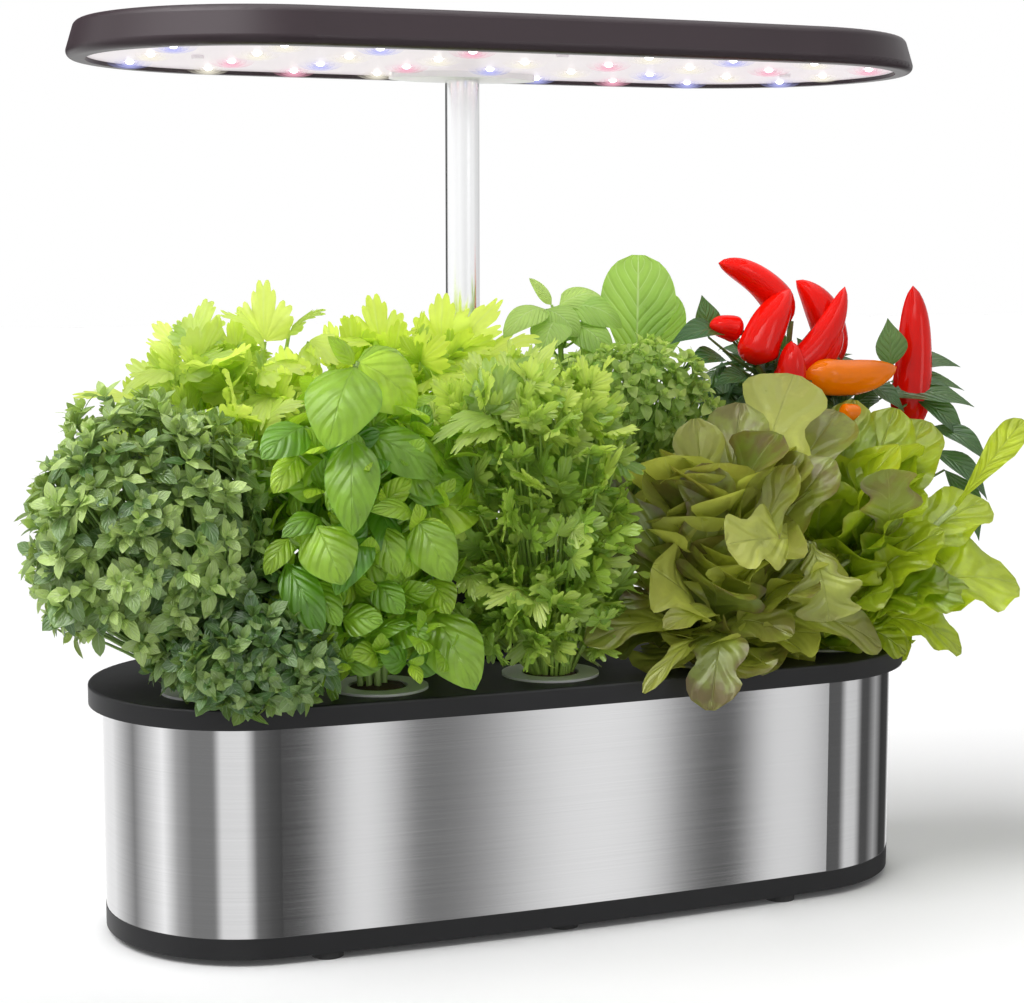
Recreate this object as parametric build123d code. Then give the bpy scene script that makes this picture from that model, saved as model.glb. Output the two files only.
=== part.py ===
from build123d import *
import math
import os

# Countertop hydroponic garden, millimetres. +X runs along the length, +Y towards the mast,
# +Z up. The origin is the middle of the garden on the surface that its feet stand on.

# ---------------------------------------------------------------- plan outlines
deck_half_length = 200.0
deck_half_width = 75.8
deck_bow_radius = 2087.0      # the long sides bow outwards a little
deck_overhang = 6.1           # deck edge beyond the steel wrap
base_lip = 0.2                # base edge beyond the steel wrap
hood_half_length = 202.5
hood_half_width = 91.3
hood_bow_radius = 2878.7
hood_behind_mast = 32.2       # hood's rear edge behind the mast

# ---------------------------------------------------------------- base, wrap and tank
foot_stand = 3.0
foot_radius = 7.0
foot_pocket_depth = 1.2
foot_from_end = 89.0
foot_from_side = 16.3
base_height = 9.2
base_floor = 2.5
base_wall = 1.4
wrap_height = 93.3
wrap_sheet = 0.8
tank_gap = 0.6                # between the steel wrap and the tank
tank_wall = 2.2
tank_floor = 2.5
tank_boss_height = 3.5
tank_boss_radius = 4.5
flange_thickness = 2.0
flange_reach = 1.0            # flange beyond the outside of the wrap
base_screw_from_end = 60.0
base_screw_y = 22.0
screw_head_radius = 2.8
screw_head_height = 1.4
screw_shank_radius = 1.45
screw_hole_radius = 1.7
pilot_rest = 1.5              # floor left above a pilot hole
screw_tip_gap = 0.2

# ---------------------------------------------------------------- deck
deck_side_height = 9.0
deck_plate = 2.5
deck_seat_height = 3.1        # deck plate above the tank flange
deck_skirt_wall = 2.4
deck_edge_round = 1.2
lip_gap = 0.4                 # deck lip inside the tank wall
lip_wall = 1.8
lip_depth = 7.6

# ---------------------------------------------------------------- pods
front_row_edge = 31.8         # middles of the front pods behind the deck's front edge
corner_edge = 49.8            # middles of the two end pods behind the front edge
corner_from_end = 48.0        # and in from the deck's ends
front_pitch = 82.0
rear_row_edge = 45.8          # middles of the inner rear pods before the deck's rear edge
rear_corner_edge = 43.8       # and of the outer rear pods
rear_inner_x = 41.0
rear_outer_x = 133.0
collar_radius = 22.0
collar_thickness = 1.6
collar_hole_radius = 13.0
collar_recess = 0.6
collar_side_gap = 0.3
cup_top_radius = 16.5
cup_bottom_radius = 12.0
cup_depth = 46.0
cup_wall = 1.3
cup_gap = 0.6                 # cup inside its deck hole
cup_slot_width = 3.0
cup_slot_count = 6
cup_slot_foot = 4.0           # solid cup wall under the slots
cup_drain_radius = 5.0
hole_sleeve_wall = 1.8
hole_sleeve_depth = 5.0
plug_gap = 0.3
plug_depth = 40.0

# ---------------------------------------------------------------- control panel
panel_half_width = 16.0
panel_pod_gap = 30.0          # panel's front end behind the middles of the front pods
panel_mast_gap = 20.0         # panel's rear end before the mast
fascia_thickness = 1.6
panel_opening_margin = 4.0
housing_depth = 17.0
housing_wall = 1.6
housing_inset = 1.0
board_thickness = 1.6
board_gap = 0.5
standoff_height = 5.4
standoff_radius = 2.2
standoff_spread_x = 8.0
button_end_margin = 12.0      # outer buttons' middles in from the panel's ends
button_radius = 4.5
button_proud = 0.7
button_gap = 0.25
button_flange_radius = 5.8
button_flange_thickness = 1.2
button_flange_gap = 0.2
button_stem_radius = 1.6
switch_radius = 2.6
switch_height = 3.0
switch_gap = 1.0
light_pipe_radius = 1.2
light_pipe_offset_x = 9.0

# ---------------------------------------------------------------- refill port
port_x = 82.0
port_edge = 25.8              # port's middle before the deck's rear edge
port_radius = 12.0
port_ring_wall = 2.2
port_ring_height = 1.2
lid_radius = 15.0
lid_thickness = 2.0
lid_pin_reach = 18.0
lid_pin_radius = 2.0
lid_pin_head_radius = 4.0
lid_pin_head_height = 1.4
lid_running_gap = 0.05
lid_lift_gap = 0.3
lid_lug_radius = 5.0

# ---------------------------------------------------------------- pump
pump_x = -82.0
pump_edge = 29.8              # pump's middle before the deck's rear edge
pump_length = 36.0
pump_width = 26.0
pump_height = 28.0
pump_corner = 4.0
pump_floor_gap = 5.5
filter_thickness = 2.0
filter_slot_width = 1.8
filter_slot_length = 16.0
filter_slot_pitch = 4.2
filter_slots_each_side = 3
volute_radius = 10.5
volute_height = 11.0
impeller_radius = 9.6
impeller_disc = 1.5
impeller_hub_radius = 3.0
impeller_vanes = 6
vane_thickness = 1.2
impeller_end_gap = 0.3
shaft_radius = 1.2
shaft_running_gap = 0.04
shaft_seat = 1.0
shaft_blind = 4.0
outlet_offset_x = 8.0
outlet_radius = 5.0
outlet_bore = 3.4
outlet_socket_depth = 6.0
outlet_socket_wall = 2.4
outlet_spout_radius = 2.4
outlet_spout_drop = 14.0
outlet_spout_overrun = 1.0

# ---------------------------------------------------------------- water level sensor
level_behind_panel = 9.0      # float stem behind the panel's middle
level_stem_radius = 2.5
level_stem_foot_gap = 6.5     # stem end above the tank floor
float_radius = 8.0
float_height = 14.0
float_gap = 0.5
clip_radius = 4.6
clip_thickness = 1.2
clip_groove = 0.5
clip_from_end = 2.8

# ---------------------------------------------------------------- mast
mast_edge = 7.8               # mast's middle before the deck's rear edge
socket_length = 64.0
socket_width = 26.0
socket_end_flat = 1.0         # half the straight part of each end
socket_forward = 1.25         # socket's middle before the mast
socket_height = 15.0
socket_round = 2.0
mast_boss_wall = 3.4
mast_boss_height = 33.0
mast_floor = 2.9
socket_screw_x = 24.0
socket_screw_forward = 8.5
socket_screw_length = 11.5
lower_tube_radius = 11.6
middle_tube_radius = 10.0
top_tube_radius = 8.3
tube_wall = 0.8
top_tube_wall = 0.9
tube_fit = 0.05
lower_tube_top = 225.0
middle_tube_foot = 133.0
middle_tube_top = 262.0
top_tube_foot = 175.0
collar_ring_height = 6.0
collar_ring_wall = 1.0
bush_depth = 10.0
guide_height = 8.0
inlet_x = 22.0
inlet_radius = 5.5
inlet_bore = 2.75
inlet_pin_radius = 1.0
inlet_length = 14.0
inlet_bore_depth = 10.0

# ---------------------------------------------------------------- lamp hood
hood_rim_height = 386.4
hood_height = 16.5
hood_draft = 5.0
hood_round = 4.0
hood_edge_roll = 3.2          # rolled lower edge of the skirt
hood_rim_width = 9.2
hood_roof = 2.0
panel_recess = 1.8
panel_thickness = 1.5
panel_gap = 0.3
board_above_panel = 1.5
led_board_thickness = 1.6
led_board_inset = 4.0
hood_socket_wall = 3.7
hood_socket_gap = 0.5
led_end_margin = 36.5         # outer LEDs in from the hood's ends
led_side_margin = 26.2        # and from its long sides
led_rows = 4
led_radius = 2.6
led_lens_radius = 2.2
led_body_height = 1.4
led_proud = 0.3
led_hole_radius = 3.0
led_lens_round = 0.8
post_radius = 3.5
post_pin_radius = 2.4
post_gap = 0.2
post_plate_x = 26.0
hood_screw_length = 9.0
plate_half_length = 37.0
plate_half_width = 21.0
plate_thickness = 2.8

# LED colours of one column, front to back: w white, r red, b blue, a dot where none sits
led_columns = ["bwb", "wwrw", "bwbr", "rwrw", ".wb.", "wrwb", "bwbr", "wrwb", "rwb"]

# ---------------------------------------------------------------- plants
canopy_gap = 1.2              # between the canopies of neighbouring plants
mast_clearance = 4.0
stem_radius = 6.5
stem_sink = 5.0               # stem's start below the collar's top, before it is cut level
stem_share = 0.4              # of the way up the crown, where the stem ends
cell_reach = 300.0
crown_seam = 97.0             # the crown's surface closes on its rear side
frond_thickness = 2.0
frond_foot_width = 8.0
frond_head = 0.72             # share of a frond's length where it is widest
frond_edge = (0.6, 0.85, 0.3)     # half width at mid-way, at the shoulder and at the tip
fruit_base_radius = 6.5
fruit_tip_radius = 2.2
fruit_stalk_radius = 1.5
fruit_heart = 0.55            # of the way up the crown, where the fruit stalks start

# Ways to grow, from foot to head of the crown: share of its height, share of its radius
habits = {
    "ball": [
        (0.0, 0.2), (0.04, 0.2), (0.1, 0.55), (0.25, 0.88),
        (0.45, 1.0), (0.65, 0.95), (0.82, 0.7), (0.94, 0.35),
    ],
    "column": [(0.0, 0.3), (0.04, 0.3), (0.12, 0.75), (0.3, 1.0), (0.65, 1.0), (0.82, 0.75), (0.94, 0.4)],
    "sheaf": [(0.0, 0.22), (0.04, 0.22), (0.25, 0.38), (0.45, 0.8), (0.65, 1.0), (0.82, 0.9), (0.94, 0.5)],
    "fountain": [(0.0, 0.3), (0.06, 0.3), (0.14, 0.6), (0.4, 0.95), (0.65, 1.0), (0.85, 0.7)],
}

# name: the crown's foot and head from the middle of the collar's top, its radius and its habit
crowns = {
    "bush_basil": ((0, 0, -5), (-46, 8, 128), 58, "ball"),
    "sweet_basil": ((0, 0, -5), (-8, -12, 153), 34, "column"),
    "parsley": ((0, 0, -5), (-6, -4, 143), 32, "column"),
    "red_lettuce": ((0, 0, -5), (18, 4, 112), 32, "fountain"),
    "green_lettuce": ((0, 0, -5), (26, 2, 96), 32, "fountain"),
    "chili": ((36, 7, 50), (38, 9, 150), 38, "ball"),
    "tall_basil": ((4, -2, 20), (24, -2, 166), 35, "sheaf"),
    "lovage": ((0, 0, -5), (0, 2, 168), 35, "sheaf"),
    "celery": ((0, 0, -5), (2, 0, 172), 44, "sheaf"),
}

# name: broad leaves that stand out of the crown, each with its turn, rise in degrees, length and width
fronds = {
    "red_lettuce": [
        (-158, 38, 88, 26), (-127, 20, 62, 26), (-99, 52, 84, 30), (-71, 24, 58, 28), (-43, 46, 90, 30),
        (-13, 61, 118, 34), (24, 63, 124, 40), (69, 70, 112, 30), (149, 56, 104, 28),
    ],
    "green_lettuce": [
        (-130, 37, 68, 26), (-82, 54, 74, 30), (-54, 32, 78, 34), (-22, 19, 94, 42), (3, 42, 106, 38),
        (17, 58, 122, 36),
    ],
    "tall_basil": [(10, 76, 186, 36)],
}

# stalk end and tip of each chili fruit, from the middle of the collar's top
fruits = [
    ((23, -2, 162), (-16, -6, 182)),
    ((19, -18, 162), (-9, -22, 138)),
    ((51, -14, 168), (9, -26, 134)),
    ((39, 2, 172), (63, -2, 134)),
    ((1, 8, 152), (-16, 10, 148)),
    ((13, -20, 114), (11, -22, 136)),
    ((89, -2, 112), (97, 2, 168)),
    ((27, -14, 126), (69, -4, 124)),
]

# ---------------------------------------------------------------- places that follow
mast_y = deck_half_width - mast_edge
hood_y = mast_y + hood_behind_mast - hood_half_width
socket_y = mast_y - socket_forward
socket_screw_y = mast_y - socket_screw_forward
port_y = deck_half_width - port_edge
pump_y = deck_half_width - pump_edge
corner_x = deck_half_length - corner_from_end
pods = {
    "bush_basil": (-corner_x, corner_edge - deck_half_width),
    "sweet_basil": (-front_pitch, front_row_edge - deck_half_width),
    "parsley": (0, front_row_edge - deck_half_width),
    "red_lettuce": (front_pitch, front_row_edge - deck_half_width),
    "green_lettuce": (corner_x, corner_edge - deck_half_width),
    "chili": (rear_outer_x, deck_half_width - rear_corner_edge),
    "tall_basil": (rear_inner_x, deck_half_width - rear_row_edge),
    "lovage": (-rear_inner_x, deck_half_width - rear_row_edge),
    "celery": (-rear_outer_x, deck_half_width - rear_corner_edge),
}
panel_front_y = front_row_edge - deck_half_width + panel_pod_gap
panel_rear_y = mast_y - panel_mast_gap
panel_y = (panel_front_y + panel_rear_y) / 2
panel_length = panel_rear_y - panel_front_y
button_pitch = panel_length / 2 - button_end_margin
level_y = panel_y + level_behind_panel
led_middle_column = (len(led_columns) - 1) / 2
led_pitch_x = (hood_half_length - led_end_margin) / led_middle_column
led_pitch_y = (hood_half_width - led_side_margin) / ((led_rows - 1) / 2)

# ---------------------------------------------------------------- heights that follow
base_z = foot_stand
base_inner_z = base_z + base_floor
wrap_z = base_z + base_height
flange_z = wrap_z + wrap_height
seat_z = flange_z + flange_thickness
tank_z = base_inner_z + tank_boss_height
tank_inner_z = tank_z + tank_floor
plate_z = seat_z + deck_seat_height
deck_z = plate_z + deck_plate
skirt_z = deck_z - deck_side_height
cup_seat_z = deck_z - collar_recess
cup_hole_radius = cup_top_radius + cup_gap
plug_top_z = cup_seat_z + collar_thickness
fascia_top_z = deck_z + fascia_thickness
housing_z = plate_z - housing_depth
board_z = housing_z + housing_wall + standoff_height
board_top_z = board_z + board_thickness
ring_top_z = deck_z + port_ring_height
pump_z = tank_inner_z + pump_floor_gap
pump_top_z = pump_z + pump_height
volute_top_z = pump_z + volute_height
stem_foot_z = tank_inner_z + level_stem_foot_gap
clip_z = stem_foot_z + clip_from_end
float_z = clip_z + clip_thickness
tank_inset = wrap_sheet + tank_gap
mast_foot_z = deck_z + mast_floor
hood_top_z = hood_rim_height + hood_height
ceiling_z = hood_top_z - hood_roof
light_panel_z = hood_rim_height + panel_recess
light_panel_top_z = light_panel_z + panel_thickness
led_board_z = light_panel_top_z + board_above_panel
led_board_top_z = led_board_z + led_board_thickness
mast_plate_z = light_panel_z - plate_thickness
top_tube_end = ceiling_z - hood_socket_gap


# ---------------------------------------------------------------- helpers
def outline(half_length, half_width, bow_radius, inset=0.0):
    """Face between two bowed long sides and two tangent round ends, moved in by an inset."""
    a = half_length - inset
    b = half_width - inset
    bow = bow_radius - inset
    end = (2 * bow * b - a * a - b * b) / (2 * (bow - a))
    turn = math.atan2(bow - b, a - end)
    x = bow * math.cos(turn)
    y = bow * math.sin(turn) - (bow - b)
    return make_face(
        [
            ThreePointArc((x, y), (0, b), (-x, y)),
            ThreePointArc((-x, y), (-a, 0), (-x, -y)),
            ThreePointArc((-x, -y), (0, -b), (x, -y)),
            ThreePointArc((x, -y), (a, 0), (x, y)),
        ]
    )


def deck_outline(inset=0.0):
    return outline(deck_half_length, deck_half_width, deck_bow_radius, inset)


def wrap_outline(inset=0.0):
    """Outline of the steel wrap's outside, moved in by an inset."""
    return deck_outline(deck_overhang + inset)


def hood_outline(inset=0.0):
    return Pos(0, hood_y) * outline(hood_half_length, hood_half_width, hood_bow_radius, inset)


def slab(face, bottom, top):
    """Upright solid on a flat face, from one height to another."""
    return extrude(Pos(0, 0, bottom) * face, amount=top - bottom, dir=(0, 0, 1))


def ring(outer, inner, bottom, top):
    return slab(outer, bottom, top) - slab(inner, bottom, top)


def drum(radius, bottom, top, x=0.0, y=0.0):
    return Pos(x, y, (bottom + top) / 2) * Cylinder(radius, top - bottom)


def tube(outer, inner, bottom, top, x=0.0, y=0.0):
    return drum(outer, bottom, top, x, y) - drum(inner, bottom, top, x, y)


def screw_up(x, y, head_bottom, head_height, head_radius, shank_radius, length):
    """Screw driven upwards: its head below, its shank above."""
    head_top = head_bottom + head_height
    head = drum(head_radius, head_bottom, head_top, x, y)
    return head + drum(shank_radius, head_top, head_top + length, x, y)


def save(shape, node):
    """One STEP file for a node: one solid, or a group of separate solids."""
    export_step(shape, f"parts/{node}.step")


def group(solids):
    return Compound(children=[solid for solid in solids])


# ---------------------------------------------------------------- base
foot_x = deck_half_length - foot_from_end
foot_y = deck_half_width - foot_from_side
foot_places = [(sx * foot_x, sy * foot_y) for sx in (-1, 0, 1) for sy in (-1, 1)]
base_screw_x = deck_half_length - base_screw_from_end
base_screw_places = [(sx * base_screw_x, sy * base_screw_y) for sx in (-1, 1) for sy in (-1, 1)]


def make_base_tray():
    outer = wrap_outline(-base_lip)
    tray = slab(outer, base_z, wrap_z)
    tray -= slab(wrap_outline(base_wall - base_lip), base_inner_z, wrap_z)
    for x, y in foot_places:
        tray -= drum(foot_radius, base_z, base_z + foot_pocket_depth, x, y)
    for x, y in base_screw_places:
        tray -= drum(screw_head_radius, base_z, base_z + screw_head_height, x, y)
        tray -= drum(screw_hole_radius, base_z, base_inner_z, x, y)
    return tray


def make_feet():
    return group([drum(foot_radius, 0, base_z + foot_pocket_depth, x, y) for x, y in foot_places])


def make_base_screws():
    length = tank_inner_z - pilot_rest - screw_tip_gap - base_z - screw_head_height
    return group(
        [
            screw_up(
                x, y, base_z, screw_head_height, screw_head_radius, screw_shank_radius, length
            )
            for x, y in base_screw_places
        ]
    )


def make_steel_wrap():
    return ring(wrap_outline(), wrap_outline(wrap_sheet), wrap_z, flange_z)


def make_water_tank():
    tank = slab(wrap_outline(tank_inset), tank_z, seat_z)
    tank += slab(wrap_outline(-flange_reach), flange_z, seat_z)
    tank -= slab(wrap_outline(tank_inset + tank_wall), tank_inner_z, seat_z)
    for x, y in base_screw_places:
        tank += drum(tank_boss_radius, base_inner_z, tank_z, x, y)
    for x, y in base_screw_places:
        tank -= drum(screw_shank_radius, base_inner_z, tank_inner_z - pilot_rest, x, y)
    return tank


# ---------------------------------------------------------------- deck
def panel_face(inset=0.0):
    """Upright slot shape of the control panel, moved in by an inset."""
    straight = panel_length - 2 * panel_half_width
    width = 2 * (panel_half_width - inset)
    return Pos(0, panel_y) * (Rot(0, 0, 90) * SlotCenterToCenter(straight, width))


def lid_pin_place():
    return port_x + lid_pin_reach, port_y


def make_grow_deck():
    deck = slab(deck_outline(), skirt_z, deck_z)
    deck = fillet(deck.faces().sort_by(Axis.Z)[-1].edges(), deck_edge_round)
    deck -= slab(deck_outline(deck_skirt_wall), skirt_z, plate_z)
    seat_inner = tank_inset + tank_wall
    deck += ring(wrap_outline(tank_inset), wrap_outline(seat_inner), seat_z, plate_z)
    lip_outer = wrap_outline(seat_inner + lip_gap)
    lip_inner = wrap_outline(seat_inner + lip_gap + lip_wall)
    deck += ring(lip_outer, lip_inner, plate_z - lip_depth, plate_z)
    sleeve_radius = cup_hole_radius + hole_sleeve_wall
    for x, y in pods.values():
        deck += drum(sleeve_radius, plate_z - hole_sleeve_depth, plate_z, x, y)
    for x, y in pods.values():
        deck -= drum(collar_radius + collar_side_gap, cup_seat_z, deck_z, x, y)
        deck -= drum(cup_hole_radius, plate_z - hole_sleeve_depth, cup_seat_z, x, y)
    deck -= slab(panel_face(panel_opening_margin), plate_z, deck_z)
    # refill port with its raised ring, and the pad under the lid's pin
    pin_x, pin_y = lid_pin_place()
    deck += drum(port_radius + port_ring_wall, deck_z, ring_top_z, port_x, port_y)
    deck += drum(lid_lug_radius, deck_z, ring_top_z, pin_x, pin_y)
    deck -= drum(port_radius, plate_z, ring_top_z, port_x, port_y)
    deck -= drum(lid_pin_radius, plate_z, ring_top_z, pin_x, pin_y)
    # socket that carries the pump's outlet tube
    tube_x = pump_x + outlet_offset_x
    socket_bottom = plate_z - outlet_socket_depth
    deck += tube(
        outlet_radius + outlet_socket_wall, outlet_radius, socket_bottom, plate_z, tube_x, pump_y
    )
    for side in (-1, 1):
        deck -= drum(screw_hole_radius, plate_z, deck_z, side * socket_screw_x, socket_screw_y)
    return deck


# ---------------------------------------------------------------- control panel
button_places = {
    "light_button": panel_y - button_pitch,
    "pump_button": panel_y,
    "link_button": panel_y + button_pitch,
}


def make_control_fascia():
    fascia = slab(panel_face(), deck_z, fascia_top_z)
    for y in button_places.values():
        fascia -= drum(button_radius + button_gap, deck_z, fascia_top_z, 0, y)
        fascia -= drum(light_pipe_radius, deck_z, fascia_top_z, light_pipe_offset_x, y)
    return fascia


def make_control_housing():
    housing = slab(panel_face(housing_inset), housing_z, plate_z)
    housing -= slab(panel_face(housing_inset + housing_wall), housing_z + housing_wall, plate_z)
    for sx in (-1, 1):
        for sy in (-1, 1):
            x = sx * standoff_spread_x
            y = panel_y + sy * button_pitch / 2
            housing += drum(standoff_radius, housing_z + housing_wall, board_z, x, y)
    return housing


def make_control_board():
    board = slab(panel_face(housing_inset + housing_wall + board_gap), board_z, board_top_z)
    for y in button_places.values():
        board += drum(switch_radius, board_top_z, board_top_z + switch_height, 0, y)
    return board


def make_button(y):
    flange_top = deck_z - button_flange_gap
    flange_bottom = flange_top - button_flange_thickness
    stem_bottom = board_top_z + switch_height + switch_gap
    button = drum(button_radius, flange_top, fascia_top_z + button_proud, 0, y)
    button = fillet(button.faces().sort_by(Axis.Z)[-1].edges(), button_gap)
    button += drum(button_flange_radius, flange_bottom, flange_top, 0, y)
    button += drum(button_stem_radius, stem_bottom, flange_bottom, 0, y)
    return button


def make_status_lenses():
    return group(
        [
            drum(light_pipe_radius, deck_z, fascia_top_z, light_pipe_offset_x, y)
            for y in button_places.values()
        ]
    )


# ---------------------------------------------------------------- refill lid
def make_refill_lid():
    pin_x, pin_y = lid_pin_place()
    top = ring_top_z + lid_thickness
    lid = drum(lid_radius, ring_top_z, top, port_x, port_y)
    lid += drum(lid_lug_radius, ring_top_z, top, pin_x, pin_y)
    neck = Rectangle(lid_pin_reach, 2 * lid_lug_radius)
    lid += slab(Pos((port_x + pin_x) / 2, port_y) * neck, ring_top_z, top)
    lid -= drum(lid_pin_radius + lid_running_gap, ring_top_z, top, pin_x, pin_y)
    return lid


def make_lid_pin():
    pin_x, pin_y = lid_pin_place()
    head_z = ring_top_z + lid_thickness + lid_lift_gap
    pin = drum(lid_pin_radius, plate_z, head_z, pin_x, pin_y)
    return pin + drum(lid_pin_head_radius, head_z, head_z + lid_pin_head_height, pin_x, pin_y)


# ---------------------------------------------------------------- pump
def pump_face():
    return Pos(pump_x, pump_y) * RectangleRounded(pump_length, pump_width, pump_corner)


def make_pump_body():
    bottom = pump_z + filter_thickness
    body = slab(pump_face(), bottom, pump_top_z)
    body -= drum(volute_radius, bottom, volute_top_z, pump_x, pump_y)
    body -= drum(shaft_radius, volute_top_z, volute_top_z + shaft_blind, pump_x, pump_y)
    body -= drum(outlet_bore, volute_top_z, pump_top_z, pump_x + outlet_offset_x, pump_y)
    return body


def make_pump_filter():
    top = pump_z + filter_thickness
    plate = slab(pump_face(), pump_z, top)
    for i in range(1, filter_slots_each_side + 1):
        for side in (-1, 1):
            slot = Pos(pump_x + side * i * filter_slot_pitch, pump_y) * (
                Rot(0, 0, 90) * SlotOverall(filter_slot_length, filter_slot_width)
            )
            plate -= slab(slot, pump_z, top)
    plate -= drum(shaft_radius, top - shaft_seat, top, pump_x, pump_y)
    return plate


def make_impeller_shaft():
    bottom = pump_z + filter_thickness - shaft_seat
    return drum(shaft_radius, bottom, volute_top_z + shaft_blind, pump_x, pump_y)


def make_pump_impeller():
    bottom = pump_z + filter_thickness + impeller_end_gap
    top = volute_top_z - impeller_end_gap
    impeller = drum(impeller_hub_radius, bottom, top, pump_x, pump_y)
    impeller += drum(impeller_radius, top - impeller_disc, top, pump_x, pump_y)
    span = impeller_radius - impeller_hub_radius / 2
    for i in range(impeller_vanes):
        vane = Pos(impeller_hub_radius / 2 + span / 2, 0) * Rectangle(span, vane_thickness)
        turned = Pos(pump_x, pump_y) * (Rot(0, 0, i * 360 / impeller_vanes) * vane)
        impeller += slab(turned, bottom + impeller_disc, top)
    impeller = impeller & drum(impeller_radius, bottom, top, pump_x, pump_y)
    return impeller - drum(shaft_radius + shaft_running_gap, bottom, top, pump_x, pump_y)


def make_outlet_tube():
    x = pump_x + outlet_offset_x
    pipe = tube(outlet_radius, outlet_bore, pump_top_z, plate_z, x, pump_y)
    spout_z = plate_z - outlet_spout_drop
    reach = outlet_radius + outlet_spout_overrun
    spout = Pos(x + reach / 2, pump_y, spout_z) * Rot(0, 90, 0) * Cylinder(outlet_spout_radius, reach)
    return pipe - spout


# ---------------------------------------------------------------- water level sensor
def make_level_stem():
    stem = drum(level_stem_radius, stem_foot_z, housing_z, 0, level_y)
    groove = level_stem_radius - clip_groove
    return stem - tube(level_stem_radius, groove, clip_z, float_z, 0, level_y)


def make_float_clip():
    return tube(clip_radius, level_stem_radius - clip_groove, clip_z, float_z, 0, level_y)


def make_level_float():
    bore = level_stem_radius + float_gap
    return tube(float_radius, bore, float_z, float_z + float_height, 0, level_y)


# ---------------------------------------------------------------- mast
def make_mast_socket():
    face = RectangleRounded(socket_length, socket_width, socket_width / 2 - socket_end_flat)
    block = slab(Pos(0, socket_y) * face, deck_z, deck_z + socket_height)
    block = fillet(block.faces().sort_by(Axis.Z)[-1].edges(), socket_round)
    boss = drum(lower_tube_radius + mast_boss_wall, deck_z, deck_z + mast_boss_height, 0, mast_y)
    boss = fillet(boss.faces().sort_by(Axis.Z)[-1].edges(), socket_round / 2)
    socket = block + boss
    boss_top = deck_z + mast_boss_height
    socket -= drum(lower_tube_radius + tube_fit, mast_foot_z, boss_top, 0, mast_y)
    for side in (-1, 1):
        x = side * socket_screw_x
        pilot_top = deck_z + socket_screw_length - deck_plate + screw_tip_gap
        socket -= drum(screw_shank_radius, deck_z, pilot_top, x, socket_screw_y)
    return socket - inlet_drum(inlet_radius, inlet_length)


def inlet_drum(radius, length):
    """Round solid that runs into the mast socket from its rear face."""
    rear = socket_y + socket_width / 2
    place = Pos(inlet_x, rear - length / 2, deck_z + socket_height / 2)
    return place * (Rot(90, 0, 0) * Cylinder(radius, length))


def make_dc_inlet():
    inlet = inlet_drum(inlet_radius, inlet_length) - inlet_drum(inlet_bore, inlet_bore_depth)
    return inlet + inlet_drum(inlet_pin_radius, inlet_bore_depth)


def make_socket_screws():
    head_bottom = plate_z - screw_head_height
    return group(
        [
            screw_up(
                side * socket_screw_x,
                socket_screw_y,
                head_bottom,
                screw_head_height,
                screw_head_radius,
                screw_shank_radius,
                socket_screw_length,
            )
            for side in (-1, 1)
        ]
    )


def make_mast_tube(radius, wall, bottom, top):
    return tube(radius, radius - wall, bottom, top, 0, mast_y)


def make_mast_collar(outer_tube, inner_tube, top):
    """Bush at a tube's upper end: a ring on the tube and a sleeve inside it."""
    bore = inner_tube + tube_fit
    collar = tube(outer_tube + collar_ring_wall, bore, top, top + collar_ring_height, 0, mast_y)
    return collar + tube(outer_tube - tube_wall, bore, top - bush_depth, top, 0, mast_y)


def make_mast_guide(outer_tube, inner_tube, bottom):
    """Guide ring on the foot of a sliding tube, running in the tube around it."""
    bore = outer_tube - tube_wall - tube_fit
    return tube(bore, inner_tube, bottom, bottom + guide_height, 0, mast_y)


# ---------------------------------------------------------------- lamp hood
post_end_x = (led_middle_column - 0.5) * led_pitch_x
front_post_y = hood_y + led_side_margin - hood_half_width
post_places = [(0.0, front_post_y), (post_end_x, hood_y), (-post_end_x, hood_y)]
plate_post_places = [(post_plate_x, mast_y), (-post_plate_x, mast_y)]


def led_places(colour):
    """Places of the LEDs of one colour; the end columns sit half a pitch off the others."""
    places = []
    for column, colours in enumerate(led_columns):
        x = (column - led_middle_column) * led_pitch_x
        for row, letter in enumerate(colours):
            y = hood_y + (row - (len(colours) - 1) / 2) * led_pitch_y
            if letter == colour:
                places.append((x, y))
    return places


all_led_places = led_places("w") + led_places("r") + led_places("b")


def make_hood_shell():
    skirt = loft(
        [
            Pos(0, 0, hood_rim_height) * hood_outline(),
            Pos(0, 0, hood_top_z) * hood_outline(hood_draft),
        ],
        ruled=True,
    )
    skirt = fillet(skirt.faces().sort_by(Axis.Z)[-1].edges(), hood_round)
    skirt = fillet(skirt.faces().sort_by(Axis.Z)[0].edges(), hood_edge_roll)
    shell = skirt - slab(hood_outline(hood_rim_width), hood_rim_height, ceiling_z)
    for x, y in post_places + plate_post_places:
        post = drum(post_radius, led_board_top_z, ceiling_z, x, y)
        post += drum(post_pin_radius, light_panel_top_z, led_board_top_z, x, y)
        shell += post - drum(screw_shank_radius, light_panel_top_z, ceiling_z, x, y)
    socket = drum(top_tube_radius + hood_socket_wall, led_board_z, ceiling_z, 0, mast_y)
    return shell + (socket - drum(top_tube_radius, led_board_z, top_tube_end, 0, mast_y))


def make_led_board():
    inset = hood_rim_width + led_board_inset
    board = slab(hood_outline(inset), led_board_z, led_board_top_z)
    for x, y in post_places + plate_post_places:
        board -= drum(post_pin_radius + post_gap, led_board_z, led_board_top_z, x, y)
    hole = top_tube_radius + hood_socket_wall + hood_socket_gap
    return board - drum(hole, led_board_z, led_board_top_z, 0, mast_y)


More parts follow.
